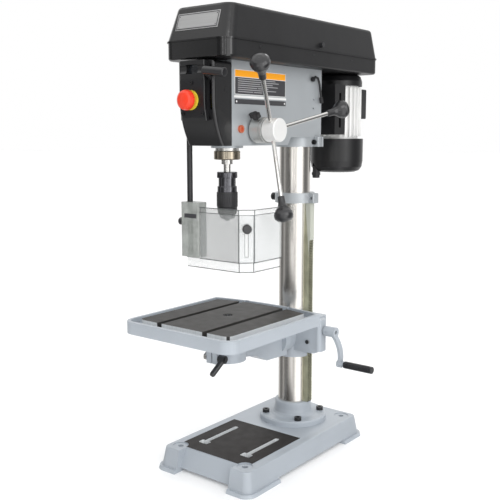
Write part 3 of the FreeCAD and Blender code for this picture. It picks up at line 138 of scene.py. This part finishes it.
MATERIALS = {
    "cast_paint": material("cast_enamel", (0.375, 0.41, 0.45), rough=0.42, coat=0.2, coat_rough=0.25,
                           shade=0.05, bump=0.25, bump_scale=260.0, worn_edge=0.25),
    "head_paint": material("silver_paint", (0.41, 0.435, 0.455), rough=0.36, metal=0.3, coat=0.2,
                           coat_rough=0.2, shade=0.04, bump=0.18, bump_scale=320.0),
    "cover_paint": material("cover_black", (0.014, 0.014, 0.015), rough=0.44, coat=0.12, coat_rough=0.15,
                            shade=0.15, bump=0.10, bump_scale=700.0, specular=0.30),
    "housing_paint": material("housing_black", (0.008, 0.008, 0.009), rough=0.30, coat=0.5,
                              coat_rough=0.08, shade=0.2, bump=0.06, bump_scale=600.0, specular=0.4),
    "motor_black": material("motor_black", (0.009, 0.009, 0.010), rough=0.40, coat=0.15, coat_rough=0.2,
                            shade=0.2, bump=0.15, bump_scale=500.0, specular=0.35),
    "column_steel": brushed("column_ground", (0.66, 0.635, 0.60), 0.24, (1, 1, 14), bump=0.05),
    "steel": brushed("turned_steel", (0.58, 0.57, 0.55), 0.27, (1, 1, 6)),
    "hub_steel": material("hub_satin", (0.82, 0.82, 0.81), rough=0.42, metal=0.3, shade=0.04,
                          bump=0.08, bump_scale=600.0, stretch=(8, 1, 1)),
    "dark_steel": material("black_oxide", (0.025, 0.025, 0.027), rough=0.38, metal=0.4, shade=0.3,
                           bump=0.15, bump_scale=700.0),
    "bright_zinc": material("rack_zinc", (0.50, 0.50, 0.36), rough=0.42, metal=0.55, shade=0.22,
                            shade_scale=40.0, bump=0.2, bump_scale=500.0),
    "chrome": material("chrome_plate", (0.74, 0.73, 0.71), rough=0.12, metal=1.0, shade=0.03,
                       rough_vary=0.04, bump=0.02, bump_scale=500.0),
    "brass": material("bronzed_ring", (0.33, 0.29, 0.23), rough=0.20, metal=1.0, shade=0.10,
                      shade_scale=30.0, bump=0.05, bump_scale=700.0, stretch=(1, 1, 8)),
    "copper": material("copper_plug", (0.62, 0.16, 0.08), rough=0.35, metal=0.6, shade=0.15,
                       bump=0.1, bump_scale=700.0),
    "black_plastic": material("knob_black", (0.018, 0.018, 0.020), rough=0.30, coat=0.35,
                              coat_rough=0.12, shade=0.2, bump=0.05, bump_scale=500.0),
    "matte_black": material("matte_black", (0.022, 0.022, 0.024), rough=0.58, shade=0.2, bump=0.3,
                            bump_scale=900.0),
    "panel": material("panel_film", (0.010, 0.010, 0.012), rough=0.42, shade=0.15, bump=0.1,
                      bump_scale=1200.0),
    "display": material("display_lens", (0.004, 0.006, 0.010), rough=0.08, coat=0.6, coat_rough=0.03,
                        shade=0.1, bump=0.0),
    "yellow_plastic": material("yellow_ring", (0.78, 0.62, 0.05), rough=0.36, shade=0.05, bump=0.08,
                               bump_scale=800.0),
    "red_plastic": material("red_cap", (0.80, 0.045, 0.015), rough=0.30, coat=0.2, shade=0.06,
                            bump=0.06, bump_scale=900.0),
    "clear_guard": material("clear_sheet", (0.74, 0.76, 0.76), rough=0.08, shade=0.05,
                            rough_vary=0.03, bump=0.03, bump_scale=40.0, alpha=0.26),
    # front wall of the clear guard sheet, coloured darker as painted shade
    "clear_front_painted_shade": material("clear_front_painted_shade", (0.15, 0.16, 0.155), rough=0.10, shade=0.06,
                            rough_vary=0.03, bump=0.03, bump_scale=40.0, alpha=0.31),
    # dark lines on the clear sheets' edges and folds: painted shade for light bent by the edges
    "sheet_edge_painted_shade": material("sheet_edge_painted_shade", (0.12, 0.13, 0.13), rough=0.2, shade=0.2, bump=0.05,
                           bump_scale=300.0, alpha=0.74),
    "ring_satin": material("ring_satin", (0.52, 0.53, 0.52), rough=0.44, metal=0.7, shade=0.10,
                           bump=0.10, bump_scale=500.0),
    # dark roots and undersides of the rack's teeth: painted shade
    "rack_root": material("rack_root_painted_shade", (0.055, 0.052, 0.034), rough=0.5, metal=0.3, shade=0.3,
                          bump=0.2, bump_scale=500.0),
    # plain bar above the teeth: a smoother finish, its paler colour partly a painted reflection
    "rack_plain": material("rack_plain", (0.66, 0.68, 0.60), rough=0.38, metal=0.45, shade=0.08,
                           bump=0.1, bump_scale=500.0),
    "cover_top": material("cover_top", (0.016, 0.016, 0.017), rough=0.60, shade=0.15, bump=0.08,
                          bump_scale=700.0, specular=0.05),
    # front of the belt cover: the sides' paint, glossier and coloured darker as painted shade
    "cover_gloss_painted_shade": material("cover_gloss_painted_shade", (0.004, 0.004, 0.0045), rough=0.16, coat=0.35, coat_rough=0.05,
                            shade=0.2, bump=0.03, bump_scale=300.0, specular=0.5),
    "frosted": material("frosted_block", (0.33, 0.35, 0.33), rough=0.32, shade=0.22, shade_scale=45.0,
                        rough_vary=0.1, bump=0.6, bump_scale=120.0, depth=0.0012, alpha=0.72),
    "dark_chrome": material("dark_chrome", (0.115, 0.115, 0.125), rough=0.18, metal=1.0, shade=0.05,
                            rough_vary=0.05, bump=0.03, bump_scale=700.0),
    "knurled": material("knurled_steel", (0.055, 0.055, 0.058), rough=0.42, metal=0.7, shade=0.2,
                        bump=0.5, bump_scale=1100.0, depth=0.0006),
    "aluminium": material("motor_white", (0.80, 0.80, 0.79), rough=0.42, metal=0.1, shade=0.06,
                          bump=0.25, bump_scale=420.0),
    "grey_digits": material("unlit_digits", (0.020, 0.022, 0.026), rough=0.3, shade=0.05, bump=0.02,
                            bump_scale=900.0),
    "rubber": material("belt_rubber", (0.015, 0.015, 0.015), rough=0.75, shade=0.2, bump=0.4,
                       bump_scale=700.0),
    "white_print": material("white_print", (0.78, 0.78, 0.77), rough=0.5, shade=0.03, bump=0.05,
                            bump_scale=900.0),
    "grey_print": material("grey_print", (0.36, 0.36, 0.37), rough=0.5, shade=0.08, bump=0.05,
                           bump_scale=900.0),
    "orange_print": material("orange_print", (0.95, 0.37, 0.0), rough=0.45, shade=0.03, bump=0.05,
                             bump_scale=900.0),
    "dark_print": material("dark_print", (0.045, 0.045, 0.050), rough=0.5, shade=0.1, bump=0.05,
                           bump_scale=900.0),
    "plate": material("nameplate", (0.40, 0.40, 0.40), rough=0.36, metal=0.5, shade=0.06,
                      bump=0.06, bump_scale=700.0, stretch=(1, 1, 30)),
    "slot_dark": material("slot_dark", (0.045, 0.042, 0.040), rough=0.5, metal=0.2, shade=0.2,
                          bump=0.2, bump_scale=500.0),
    # pale machined finish; on the table's edge bevels also a painted highlight, and on the base's slot
    # walls painted light
    "milled_and_painted_light": material("milled_edge_and_painted_light", (0.74, 0.76, 0.77), rough=0.40, metal=0.25, shade=0.06,
                       bump=0.10, bump_scale=700.0, stretch=(30, 1, 1)),
}


def milled_top(name, color, rough, metal, line_scale):
    """Ground table face: parallel grinding lines, blotches of oil and light scratches."""
    mat = material(name, color, rough=rough, metal=metal, shade=0.16, shade_scale=14.0, rough_vary=0.10,
                   rough_scale=45.0, bump=0.0, specular=0.3)
    tree = mat.node_tree
    shader = tree.nodes["Principled BSDF"]
    where = new_node(tree, "ShaderNodeTexCoord")
    lines = new_node(tree, "ShaderNodeTexWave", wave_type="BANDS", bands_direction="X")
    lines.inputs["Scale"].default_value = line_scale
    lines.inputs["Distortion"].default_value = 1.4
    lines.inputs["Detail"].default_value = 3.0
    link(tree, where.outputs["Object"], lines.inputs["Vector"])
    relief = new_node(tree, "ShaderNodeBump")
    relief.inputs["Strength"].default_value = 0.18
    relief.inputs["Distance"].default_value = 0.0002
    link(tree, lines.outputs["Fac"], relief.inputs["Height"])
    link(tree, relief.outputs["Normal"], shader.inputs["Normal"])
    return mat


MATERIALS["table_face"] = milled_top("table_face", (0.026, 0.024, 0.022), 0.55, 0.0, 130.0)
MATERIALS["base_face"] = milled_top("base_face", (0.012, 0.009, 0.008), 0.60, 0.0, 90.0)

LOOK = {
    "cast_paint": "column_flange table_bracket crank_arm table_arm",
    "head_paint": "head_casting rack_collar",
    "housing_paint": "front_housing spring_cap",
    "motor_black": "motor_bracket motor_end_bell fan_cowl guard_clamp",
    "column_steel": "column",
    "steel": "return_spring bracket_bolts worm_shaft quill quill_bearings spindle spindle_pulley "
             "spindle_sheave motor_rotor motor_pulley feed_shaft",
    "hub_steel": "feed_hub",
    "ring_satin": "depth_ring",
    "dark_chrome": "chuck_body",
    "knurled": "chuck_sleeve",
    "dark_steel": "flange_bolts chuck_jaws speed_lever motor_lock_lever guard_rod",
    "chrome": "feed_arms",
    "brass": "quill_collar",
    "black_plastic": "crank_grip feed_knobs speed_grip guard_shield_knob guard_rod_knob lid_latch_knob",
    "matte_black": "terminal_box cable_gland depth_lock_knob",
    "panel": "control_panel",
    "display": "display_window",
    "yellow_plastic": "estop_body",
    "red_plastic": "estop_button",
    "clear_guard": "guard_lower_shield",
    "aluminium": "motor_body",
    "rubber": "drive_belt",
}


def dress():
    """One finish for each node of LOOK."""
    for look, names in LOOK.items():
        for name in names.split():
            obj = nodes[name]
            obj.data.materials.clear()
            obj.data.materials.append(MATERIALS[look])


def paint_faces(name, looks, choose):
    """Gives a CAD node several finishes; choose(centre, normal) returns a face's number in looks."""
    mesh = nodes[name].data
    mesh.materials.clear()
    for look in looks:
        mesh.materials.append(MATERIALS[look])
    for face in mesh.polygons:
        face.material_index = choose(face.center, face.normal)


def paint_table():
    """Ground top, bright machined edge of the raised part, and dark slot walls."""
    low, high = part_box("table")
    inner = 0.0245
    edge_band = 0.004
    chamfer = 0.0016
    wall = 0.012

    def choose(c, n):
        if n.z > 0.9 and c.z > high.z - 0.0003:
            return 1
        raised = (low.x + inner < c.x < high.x - inner and low.y + inner < c.y < high.y - inner)
        if raised and c.z > high.z - chamfer - wall and abs(n.z) < 0.3:
            outer = min(c.x - low.x, high.x - c.x, c.y - low.y, high.y - c.y) < inner + edge_band
            return 2 if outer else 3
        return 0

    paint_faces("table", ["cast_paint", "table_face", "milled_and_painted_light", "slot_dark"], choose)


def paint_base():
    """Ground top of the pad, and walls in its two slots coloured pale as painted light."""
    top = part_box("base")[1].z
    slot_x = (0.04, 0.08)
    slot_y = (-0.157, -0.027)

    def choose(c, n):
        if n.z > 0.9 and c.z > top - 0.0003:
            return 1
        in_slot = slot_x[0] < abs(c.x) < slot_x[1] and slot_y[0] < c.y < slot_y[1]
        # the slots' enamel walls take the pale finish as painted light
        return 2 if in_slot and abs(n.z) < 0.3 else 0

    paint_faces("base", ["cast_paint", "base_face", "milled_and_painted_light"], choose)


def paint_fasteners():
    """Copper plug on the head's side, steel pins above the head, the rest dark."""
    plug_z = (0.74, 0.765)
    plug_x = 0.03
    plug_y = -0.13
    head_top = 0.9

    def choose(c, n):
        if c.x > plug_x and plug_z[0] < c.z < plug_z[1] and c.y < plug_y:
            return 1
        return 2 if c.z > head_top else 0

    paint_faces("head_fasteners", ["dark_steel", "copper", "steel"], choose)


def paint_table_controls():
    """Steel stud of the lock lever and dark end of the pinion's axle."""
    stud_end = 0.0155
    axle_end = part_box("rack_pinion")[0].y + 0.004
    paint_faces("table_lock_lever", ["black_plastic", "steel"], lambda c, n: 1 if c.x < stud_end else 0)
    paint_faces("rack_pinion", ["steel", "dark_steel"], lambda c, n: 1 if c.y < axle_end else 0)


def paint_rack():
    """Zinc tooth tips over roots and undersides painted dark as shade, and a plain bar above the teeth
    whose paler colour is partly a painted reflection.
    """
    low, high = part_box("rack")
    teeth_top = 0.4945
    tooth = 0.0022

    def choose(c, n):
        if c.z > teeth_top:
            return 2
        # roots and undersides of the teeth take the dark painted shade
        root = c.x < high.x - tooth and n.x > 0.9
        under = n.z < -0.3 and c.z > low.z + 0.001
        return 1 if root or under else 0

    paint_faces("rack", ["bright_zinc", "rack_root", "rack_plain"], choose)


def paint_cover():
    """Belt cover: matt on top, glossy toward the front, where a darker colour of the same paint is
    painted shade.
    """
    def choose(c, n):
        if n.z > 0.75:
            return 2
        # faces toward the front take the darker painted shade
        return 1 if n.y < -0.35 else 0

    for name in ("cover_lid", "cover_pan"):
        paint_faces(name, ["cover_paint", "cover_gloss_painted_shade", "cover_top"], choose)


def paint_shield():
    """Frosted block at the guard's left, the front wall of the clear sheet coloured darker as painted
    shade, clear sides.
    """
    block_side = -0.0238
    front_wall = -0.1965

    def choose(c, n):
        if c.x < block_side:
            return 1
        # the front wall takes the darker painted shade
        return 2 if c.y < front_wall and n.y < -0.9 else 0

    paint_faces("guard_shield", ["clear_guard", "frosted", "clear_front_painted_shade"], choose)


def round_edges():
    """Small radii on the castings and sheet covers, so that edges catch the light; on the table the radii
    take the pale milled finish, machined on the raised part's edges and a painted highlight on the enamel
    rim's edges.
    """
    widths = {"front_housing": 0.0018, "cover_lid": 0.0022, "cover_pan": 0.0016, "base": 0.0014,
              "column_flange": 0.0010, "table": 0.0009, "table_bracket": 0.0012, "table_arm": 0.0012,
              "head_casting": 0.0010, "fan_cowl": 0.0010, "motor_end_bell": 0.0010, "estop_body": 0.0005,
              "crank_arm": 0.0008, "rack_collar": 0.0006, "feed_hub": 0.0005, "control_panel": 0.0004}
    milled_and_highlight_slot = nodes["table"].data.materials.find(MATERIALS["milled_and_painted_light"].name)
    for name, width in widths.items():
        soft = nodes[name].modifiers.new("edges", "BEVEL")
        soft.width = width
        soft.segments = 2
        soft.limit_method = "ANGLE"
        soft.angle_limit = math.radians(50)
        soft.use_clamp_overlap = True
        soft.harden_normals = False
        # the table's bevel faces take the pale finish: machined on the raised part, a painted highlight
        # on the enamel rim
        if name == "table":
            soft.material = milled_and_highlight_slot


dress()
paint_table()
paint_base()
paint_fasteners()
paint_table_controls()
paint_rack()
paint_cover()
paint_shield()
round_edges()


# ---- piece helpers ----------------------------------------------------------------------------------
def finish_piece(name, bm, looks, body):
    """Makes the object, shades its round parts smooth, and says what it rides on."""
    mesh = bpy.data.meshes.new(name)
    bm.to_mesh(mesh)
    bm.free()
    obj = bpy.data.objects.new(name, mesh)
    bpy.context.scene.collection.objects.link(obj)
    for look in looks:
        mesh.materials.append(MATERIALS[look])
    for face in mesh.polygons:
        face.use_smooth = True
    mesh.set_sharp_from_angle(angle=math.radians(35))
    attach(obj, body)


def add_bar(bm, low, high, look=0, bevel=0.0, turn=None):
    """Bevelled box between two corners; turn rotates it about its own middle."""
    size = Vector(high) - Vector(low)
    middle = (Vector(high) + Vector(low)) / 2
    made = bmesh.ops.create_cube(bm, size=1.0)
    verts = made["verts"]
    for v in verts:
        v.co = Vector((v.co.x * size.x, v.co.y * size.y, v.co.z * size.z))
    if bevel:
        edges = list({e for v in verts for e in v.link_edges})
        cut = bmesh.ops.bevel(bm, geom=edges, offset=bevel, segments=2, affect="EDGES", profile=0.6)
        verts = list({v for f in cut["faces"] for v in f.verts} | {v for v in verts if v.is_valid})
    for v in verts:
        if turn is not None:
            v.co = turn @ v.co
        v.co += middle
    for face in {f for v in verts for f in v.link_faces}:
        face.material_index = look


def add_turned(bm, profile, matrix, look=0, steps=40):
    """Surface of revolution about the matrix's Z; profile is (radius, height) pairs."""
    rings = []
    for radius, height in profile:
        ring = []
        for k in range(steps if radius else 1):
            angle = 2 * math.pi * k / steps
            place = Vector((radius * math.cos(angle), radius * math.sin(angle), height))
            ring.append(bm.verts.new(matrix @ place))
        rings.append(ring)
    for a, b in zip(rings, rings[1:]):
        for k in range(steps):
            n = (k + 1) % steps
            corners = [a[k % len(a)], a[n % len(a)], b[n % len(b)], b[k % len(b)]]
            corners = list(dict.fromkeys(corners))
            if len(corners) > 2:
                bm.faces.new(corners).material_index = look


def axis_matrix(origin, direction):
    """Frame at origin whose Z runs along direction."""
    turn = Vector(direction).to_track_quat("Z", "Y").to_matrix().to_4x4()
    return Matrix.Translation(Vector(origin)) @ turn


# ---- printed label on the head's side ---------------------------------------------------------------
HEAD_SIDE = 0.047
PRINT = 0.0002
LABEL_FRONT = -0.1676
LABEL_REAR = 0.008
LABEL_LOW = 0.8215
LABEL_HIGH = 0.8712
LABEL_SPLIT = 0.8572
LABEL_BORDER = 0.0012
LINE_PITCH = 0.0042
TRIM_Z = (0.8150, 0.8195)
BAR_Z = (0.8025, 0.8125)
BAR_THICK = 0.0006


def side_rect(bm, y0, y1, z0, z1, lift, look, thick=0.00025, bevel=0.0):
    """Flat print on the head's right side, lift above it."""
    x = HEAD_SIDE + lift
    add_bar(bm, (x, y0, z0), (x + thick, y1, z1), look, bevel)


def add_print_lines(bm, first_z, margin):
    """Plain strokes in place of words: each line is two strokes with a gap."""
    shares = (0.82, 0.90, 0.76, 0.88, 0.66, 0.84, 0.52)
    stroke = 0.62
    gap = 0.003
    start = LABEL_FRONT + margin
    for k, share in enumerate(shares):
        z = first_z - LINE_PITCH * k
        length = (LABEL_REAR - LABEL_FRONT - 2 * margin) * share
        turn = start + length * stroke
        side_rect(bm, start, turn, z - 0.0009, z + 0.0006, 2 * PRINT, 3, PRINT)
        side_rect(bm, turn + gap, start + length, z - 0.0009, z + 0.0006, 2 * PRINT, 3, PRINT)


def make_side_label():
    """Orange band over a dark field of plain lines, and a narrow bar with two rivets below it."""
    bm = bmesh.new()
    y0 = LABEL_FRONT
    y1 = LABEL_REAR
    edge = LABEL_BORDER
    side_rect(bm, y0, y1, LABEL_LOW, LABEL_HIGH, 0.0, 0)
    side_rect(bm, y0 + edge, y1 - edge, LABEL_SPLIT, LABEL_HIGH - 0.001, PRINT, 1)
    side_rect(bm, y0 + edge, y1 - edge, LABEL_LOW + 0.0011, LABEL_SPLIT - edge, PRINT, 2)
    add_print_lines(bm, LABEL_SPLIT - 0.0044, 0.010)
    side_rect(bm, y0 - 0.002, y1 + 0.003, TRIM_Z[0], TRIM_Z[1], 0.0, 0)
    side_rect(bm, y0, y1 + 0.001, BAR_Z[0], BAR_Z[1], 0.0, 2, BAR_THICK, PRINT)
    rivet = [(0.0021, 0), (0.0021, 0.0007), (0.0014, 0.0012), (0, 0.0013)]
    for y in (y0 + 0.005, y1 - 0.004):
        add_turned(bm, rivet, axis_matrix((HEAD_SIDE + 0.0005, y, sum(BAR_Z) / 2), (1, 0, 0)), 0, 20)
    looks = ["white_print", "orange_print", "dark_print", "grey_print"]
    finish_piece("side_label", bm, looks, "stand")


# ---- blank nameplate on the lid's front --------------------------------------------------------------
LID_FRONT_FOOT = Vector((0, -0.236, 0.9273))
LID_FRONT_HEAD = Vector((0, -0.213, 0.995))
PLATE_HALF_X = 0.0555
PLATE_HALF_UP = 0.0178
PLATE_UP = 0.0375
RIVET_ACROSS = 0.0490
RIVET_UP = 0.0113


def make_nameplate():
    """Blank metal plate on the lid's sloping front, with a dark border and four rivets."""
    across = Vector((1, 0, 0))
    up = (LID_FRONT_HEAD - LID_FRONT_FOOT).normalized()
    out = across.cross(up)
    turn = Matrix((across, up, -out)).transposed()
    centre = LID_FRONT_FOOT + up * PLATE_UP + out * 0.0006
    bm = bmesh.new()
    # inset from the plate's edge, half thickness, lift, finish and edge radius
    layers = [(0.0, 0.0008, 0.0, 0, 0.0003), (0.0017, 0.0003, 0.0006, 1, 0.0),
              (0.0037, 0.0003, 0.0008, 0, 0.0)]
    for inset, thick, lift, look, bevel in layers:
        half = Vector((PLATE_HALF_X - inset, PLATE_HALF_UP - inset, thick))
        middle = centre + out * lift
        add_bar(bm, middle - half, middle + half, look, bevel, turn)
    rivet = [(0.0012, 0), (0.0012, 0.0004), (0.0007, 0.0008), (0, 0.0009)]
    for side in (-1, 1):
        for level in (-1, 1):
            place = centre + across * side * RIVET_ACROSS + up * level * RIVET_UP + out * 0.0010
            add_turned(bm, rivet, axis_matrix(place, out), 1, 14)
    finish_piece("lid_plate", bm, ["plate", "dark_print"], "lid")


# ---- screw and slots on the cover --------------------------------------------------------------------
def add_screw_head(bm, origin, direction, radius, height, look, slot_look):
    """Domed head with a cross recess."""
    matrix = axis_matrix(origin, direction)
    dome = [(radius, 0), (radius, height * 0.5), (radius * 0.8, height * 0.9), (0, height)]
    add_turned(bm, dome, matrix, look, 24)
    reach = radius * 0.55
    wide = radius * 0.24
    for turn in (0, math.pi / 2):
        spin = matrix @ Matrix.Rotation(turn, 4, "Z")
        corners = [(-reach, -wide), (reach, -wide), (reach, wide), (-reach, wide)]
        face = bm.faces.new([bm.verts.new(spin @ Vector((a, b, height * 1.02))) for a, b in corners])
        face.material_index = slot_look


def make_cover_details():
    """One screw at the front of the pan's side and two small slots along the lip."""
    lip = 0.0021
    side_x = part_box("cover_pan")[1].x - lip
    screw = (side_x, -0.133, 0.9140)
    screw_radius = 0.0034
    screw_height = 0.0016
    slot_half = 0.0045
    slot_z = (0.9130, 0.9150)
    slot_x = side_x + 0.0005
    bm = bmesh.new()
    add_screw_head(bm, screw, (1, 0, 0), screw_radius, screw_height, 0, 1)
    for y in (0.059, 0.221):
        add_bar(bm, (side_x, y - slot_half, slot_z[0]), (slot_x, y + slot_half, slot_z[1]), 1, 0.0002)
    finish_piece("cover_marks", bm, ["dark_steel", "matte_black"], "stand")


# ---- speed display ------------------------------------------------------------------------------------
DIGITS = 4
DIGIT_PITCH = 0.0062
DIGIT_WIDTH = 0.0036
DIGIT_HALF = 0.0052
SIDE_HALF = 0.0050
STROKE_HALF = 0.0004
FIRST_DIGIT = 0.0045


def make_display_digits():
    """Four unlit digits, each a figure of eight in thin bars, on the display's lens."""
    low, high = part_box("display_window")
    middle = (low.z + high.z) / 2
    front = low.y - 0.0004
    back = front + 0.0003
    bm = bmesh.new()
    for k in range(DIGITS):
        x = low.x + FIRST_DIGIT + k * DIGIT_PITCH
        for rise in (-DIGIT_HALF, 0.0, DIGIT_HALF):
            z = middle + rise
            add_bar(bm, (x, front, z - STROKE_HALF), (x + DIGIT_WIDTH, back, z + STROKE_HALF))
        for at in (x, x + DIGIT_WIDTH):
            foot = (at - STROKE_HALF, front, middle - SIDE_HALF)
            add_bar(bm, foot, (at + STROKE_HALF, back, middle + SIDE_HALF))
    finish_piece("display_digits", bm, ["grey_digits"], "stand")


# ---- guard: blank strip, and painted shade along the sheets' edges ------------------------------------
GUARD_FRONT = -0.197
GUARD_CORNER = 0.023
LOWER_INSET = 0.0034
BLOCK_RIGHT = -0.0245
SHIELD_TOP = 0.591
SLOT_MIDDLE = Vector((0.0915, -0.1855, 0.5285))
SLOT_HALF_WIDE = 0.0036
SLOT_HALF_TALL = 0.0337
STRIP_X = (-0.0640, -0.0300)
STRIP_Z = (0.5670, 0.5760)
STRIP_THICK = 0.0004


def make_guard_strip():
    """Blank dark strip on the front of the guard's block."""
    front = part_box("guard_shield")[0].y
    bm = bmesh.new()
    low = (STRIP_X[0], front - STRIP_THICK, STRIP_Z[0])
    add_bar(bm, low, (STRIP_X[1], front, STRIP_Z[1]), 0, 0.0001)
    finish_piece("guard_strip", bm, ["dark_print"], "guard")


def add_sheet_edges(bm, start_x, inset, box, top):
    """Dark lines up a bent sheet's two folds and along its top and bottom edges, painted shade for the
    light that the clear edges bend.
    """
    low, high = box
    line = 0.0008
    from_end = 0.0006
    front = GUARD_FRONT + inset
    corner = GUARD_CORNER - inset * (2 - math.sqrt(2))
    points = [Vector((start_x, front, 0)), Vector((high.x - corner, front, 0)),
              Vector((high.x, front + corner, 0)), Vector((high.x, high.y, 0))]
    for x, y, _ in points[1:3]:
        add_bar(bm, (x - 0.0008, y - 0.0003, low.z), (x + 0.0006, y + 0.0012, top), 0, 0.0004)
    for a, b in zip(points, points[1:]):
        run = b - a
        turn = Matrix.Rotation(math.atan2(run.y, run.x), 3, "Z")
        half = Vector((run.length / 2, line, line))
        for z in (low.z + from_end, top - from_end):
            middle = (a + b) / 2 + Vector((0, 0, z))
            add_bar(bm, middle - half, middle + half, 0, 0.0002, turn)


def add_slot_edges(bm):
    """Dark outline of the slot in the upper sheet's slanting corner, painted shade for the light that its
    cut edges bend.
    """
    turn = Matrix.Rotation(math.pi / 4, 3, "Z")
    sides = [(Vector((side, -0.0002, 0)), Vector((0.0004, 0.0006, 0.0335)))
             for side in (-SLOT_HALF_WIDE, SLOT_HALF_WIDE)]
    ends = [(Vector((0, -0.0002, rise)), Vector((0.0040, 0.0006, 0.0004)))
            for rise in (-SLOT_HALF_TALL, SLOT_HALF_TALL)]
    for offset, half in sides + ends:
        middle = SLOT_MIDDLE + turn @ offset
        add_bar(bm, middle - half, middle + half, 0, 0.0002, turn)


def make_guard_edges():
    """Edge lines of the upper sheet, right of its block, and of the lower sheet behind it, all painted
    shade.
    """
    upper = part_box("guard_shield")
    bm = bmesh.new()
    add_sheet_edges(bm, BLOCK_RIGHT, 0.0, upper, SHIELD_TOP)
    add_slot_edges(bm)
    finish_piece("shield_edge_shade", bm, ["sheet_edge_painted_shade"], "guard")
    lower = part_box("guard_lower_shield")
    bm = bmesh.new()
    add_sheet_edges(bm, lower[0].x, LOWER_INSET, lower, lower[1].z)
    finish_piece("lower_edge_shade", bm, ["sheet_edge_painted_shade"], "lower_guard")


make_side_label()
make_nameplate()
make_cover_details()
make_display_digits()
make_guard_strip()
make_guard_edges()


# ---- floor, light and camera ------------------------------------------------------------------------
FLOOR_HALF = 30.0
FLOOR_GLOW = 0.10
# share of a turn round the horizon, and the studio's brightness there
STUDIO_BANDS = [(0.0, 0.40), (0.02, 0.20), (0.09, 0.20), (0.12, 0.70), (0.145, 0.24), (0.22, 0.20),
                (0.26, 0.70), (0.32, 1.30), (0.345, 0.60), (0.37, 0.80), (0.39, 1.80), (0.50, 1.90),
                (0.535, 0.24), (0.60, 0.16), (0.66, 0.45), (0.74, 1.0), (0.95, 1.0), (1.0, 0.40)]
BANDS_UP_TO = 0.35
CEILING_FROM = 0.65
CEILING = 1.12
# name, place, aim, width and height, power
LIGHTS = [("key", (2.3, -1.9, 2.5), (0, 0, 0.5), (1.5, 1.5), 22),
          ("side", (2.6, -0.5, 1.3), (0, 0, 0.6), (0.5, 2.4), 7),
          ("strip_left", (0.75, -3.0, 1.1), (0, 0, 0.7), (0.10, 2.2), 3.2),
          ("strip_right", (1.75, -2.5, 1.1), (0, 0, 0.7), (0.10, 2.2), 3.2),
          ("rim", (-1.2, 2.4, 2.2), (0, 0.1, 0.7), (1.4, 1.4), 10)]
CAMERA_PLACE = (1.0550, -1.4030, 0.7389)
CAMERA_HEADING = 38.1
CAMERA_PITCH = -8.4
CAMERA_LENS = 55.83


def make_floor():
    """Pale floor, slightly lit by itself and hidden from reflections, so steel shows the bands."""
    bm = bmesh.new()
    bmesh.ops.create_grid(bm, x_segments=2, y_segments=2, size=FLOOR_HALF)
    mesh = bpy.data.meshes.new("floor")
    bm.to_mesh(mesh)
    bm.free()
    floor = bpy.data.objects.new("floor", mesh)
    bpy.context.scene.collection.objects.link(floor)
    pale = material("pale_floor", (0.93, 0.93, 0.93), rough=0.75, shade=0.01, rough_vary=0.03, bump=0.02,
                    bump_scale=60.0, specular=0.2)
    mesh.materials.append(pale)
    shader = pale.node_tree.nodes["Principled BSDF"]
    shader.inputs["Emission Color"].default_value = (1, 1, 1, 1)
    shader.inputs["Emission Strength"].default_value = FLOOR_GLOW
    floor.visible_glossy = False


def area_light(name, place, aim, size, power):
    """White rectangular lamp at place, turned toward aim."""
    data = bpy.data.lights.new(name, "AREA")
    data.shape = "RECTANGLE"
    data.size, data.size_y = size
    data.energy = power
    lamp = bpy.data.objects.new(name, data)
    lamp.location = place
    lamp.rotation_mode = "QUATERNION"
    lamp.rotation_quaternion = (Vector(aim) - Vector(place)).to_track_quat("-Z", "Y")
    bpy.context.scene.collection.objects.link(lamp)


def studio_bands(tree, where):
    """Colour ramp round the horizon that carries STUDIO_BANDS."""
    turn = new_node(tree, "ShaderNodeTexGradient", gradient_type="RADIAL")
    link(tree, where.outputs["Generated"], turn.inputs["Vector"])
    bands = new_node(tree, "ShaderNodeValToRGB")
    stops = bands.color_ramp.elements
    first, last = stops
    first.position, last.position = STUDIO_BANDS[0][0], STUDIO_BANDS[-1][0]
    first.color = [STUDIO_BANDS[0][1]] * 3 + [1]
    last.color = [STUDIO_BANDS[-1][1]] * 3 + [1]
    for place, level in STUDIO_BANDS[1:-1]:
        stops.new(place).color = [level] * 3 + [1]
    link(tree, turn.outputs["Fac"], bands.inputs["Fac"])
    return bands


def make_world():
    """White studio with a few grey bands round the horizon, for the polished steel to show."""
    world = bpy.data.worlds.new("studio")
    world.use_nodes = True
    tree = world.node_tree
    back = tree.nodes["Background"]
    back.inputs["Strength"].default_value = 1.0
    where = new_node(tree, "ShaderNodeTexCoord")
    bands = studio_bands(tree, where)
    split = new_node(tree, "ShaderNodeSeparateXYZ")
    link(tree, where.outputs["Generated"], split.inputs["Vector"])
    height = new_node(tree, "ShaderNodeMapRange")
    height.inputs["From Min"].default_value = BANDS_UP_TO
    height.inputs["From Max"].default_value = CEILING_FROM
    link(tree, split.outputs["Z"], height.inputs["Value"])
    mix = new_node(tree, "ShaderNodeMix", data_type="RGBA")
    link(tree, height.outputs["Result"], mix.inputs[MIX_FACTOR])
    link(tree, bands.outputs["Color"], mix.inputs[MIX_FIRST])
    mix.inputs[MIX_SECOND].default_value = (CEILING, CEILING, CEILING, 1)
    link(tree, mix.outputs[MIX_RESULT], back.inputs["Color"])
    bpy.context.scene.world = world
    bpy.context.scene.view_settings.view_transform = "Standard"


def make_camera():
    """Camera that looks at the press from its front right, a little downward."""
    data = bpy.data.cameras.new("camera")
    data.lens = CAMERA_LENS
    data.sensor_width = 36.0
    cam = bpy.data.objects.new("camera", data)
    cam.location = CAMERA_PLACE
    heading = math.radians(CAMERA_HEADING)
    pitch = math.radians(CAMERA_PITCH)
    level = math.cos(pitch)
    look = Vector((-math.sin(heading) * level, math.cos(heading) * level, math.sin(pitch)))
    cam.rotation_mode = "QUATERNION"
    cam.rotation_quaternion = look.to_track_quat("-Z", "Y")
    bpy.context.scene.collection.objects.link(cam)
    bpy.context.scene.camera = cam


make_floor()
make_world()
for lamp_row in LIGHTS:
    area_light(*lamp_row)
make_camera()
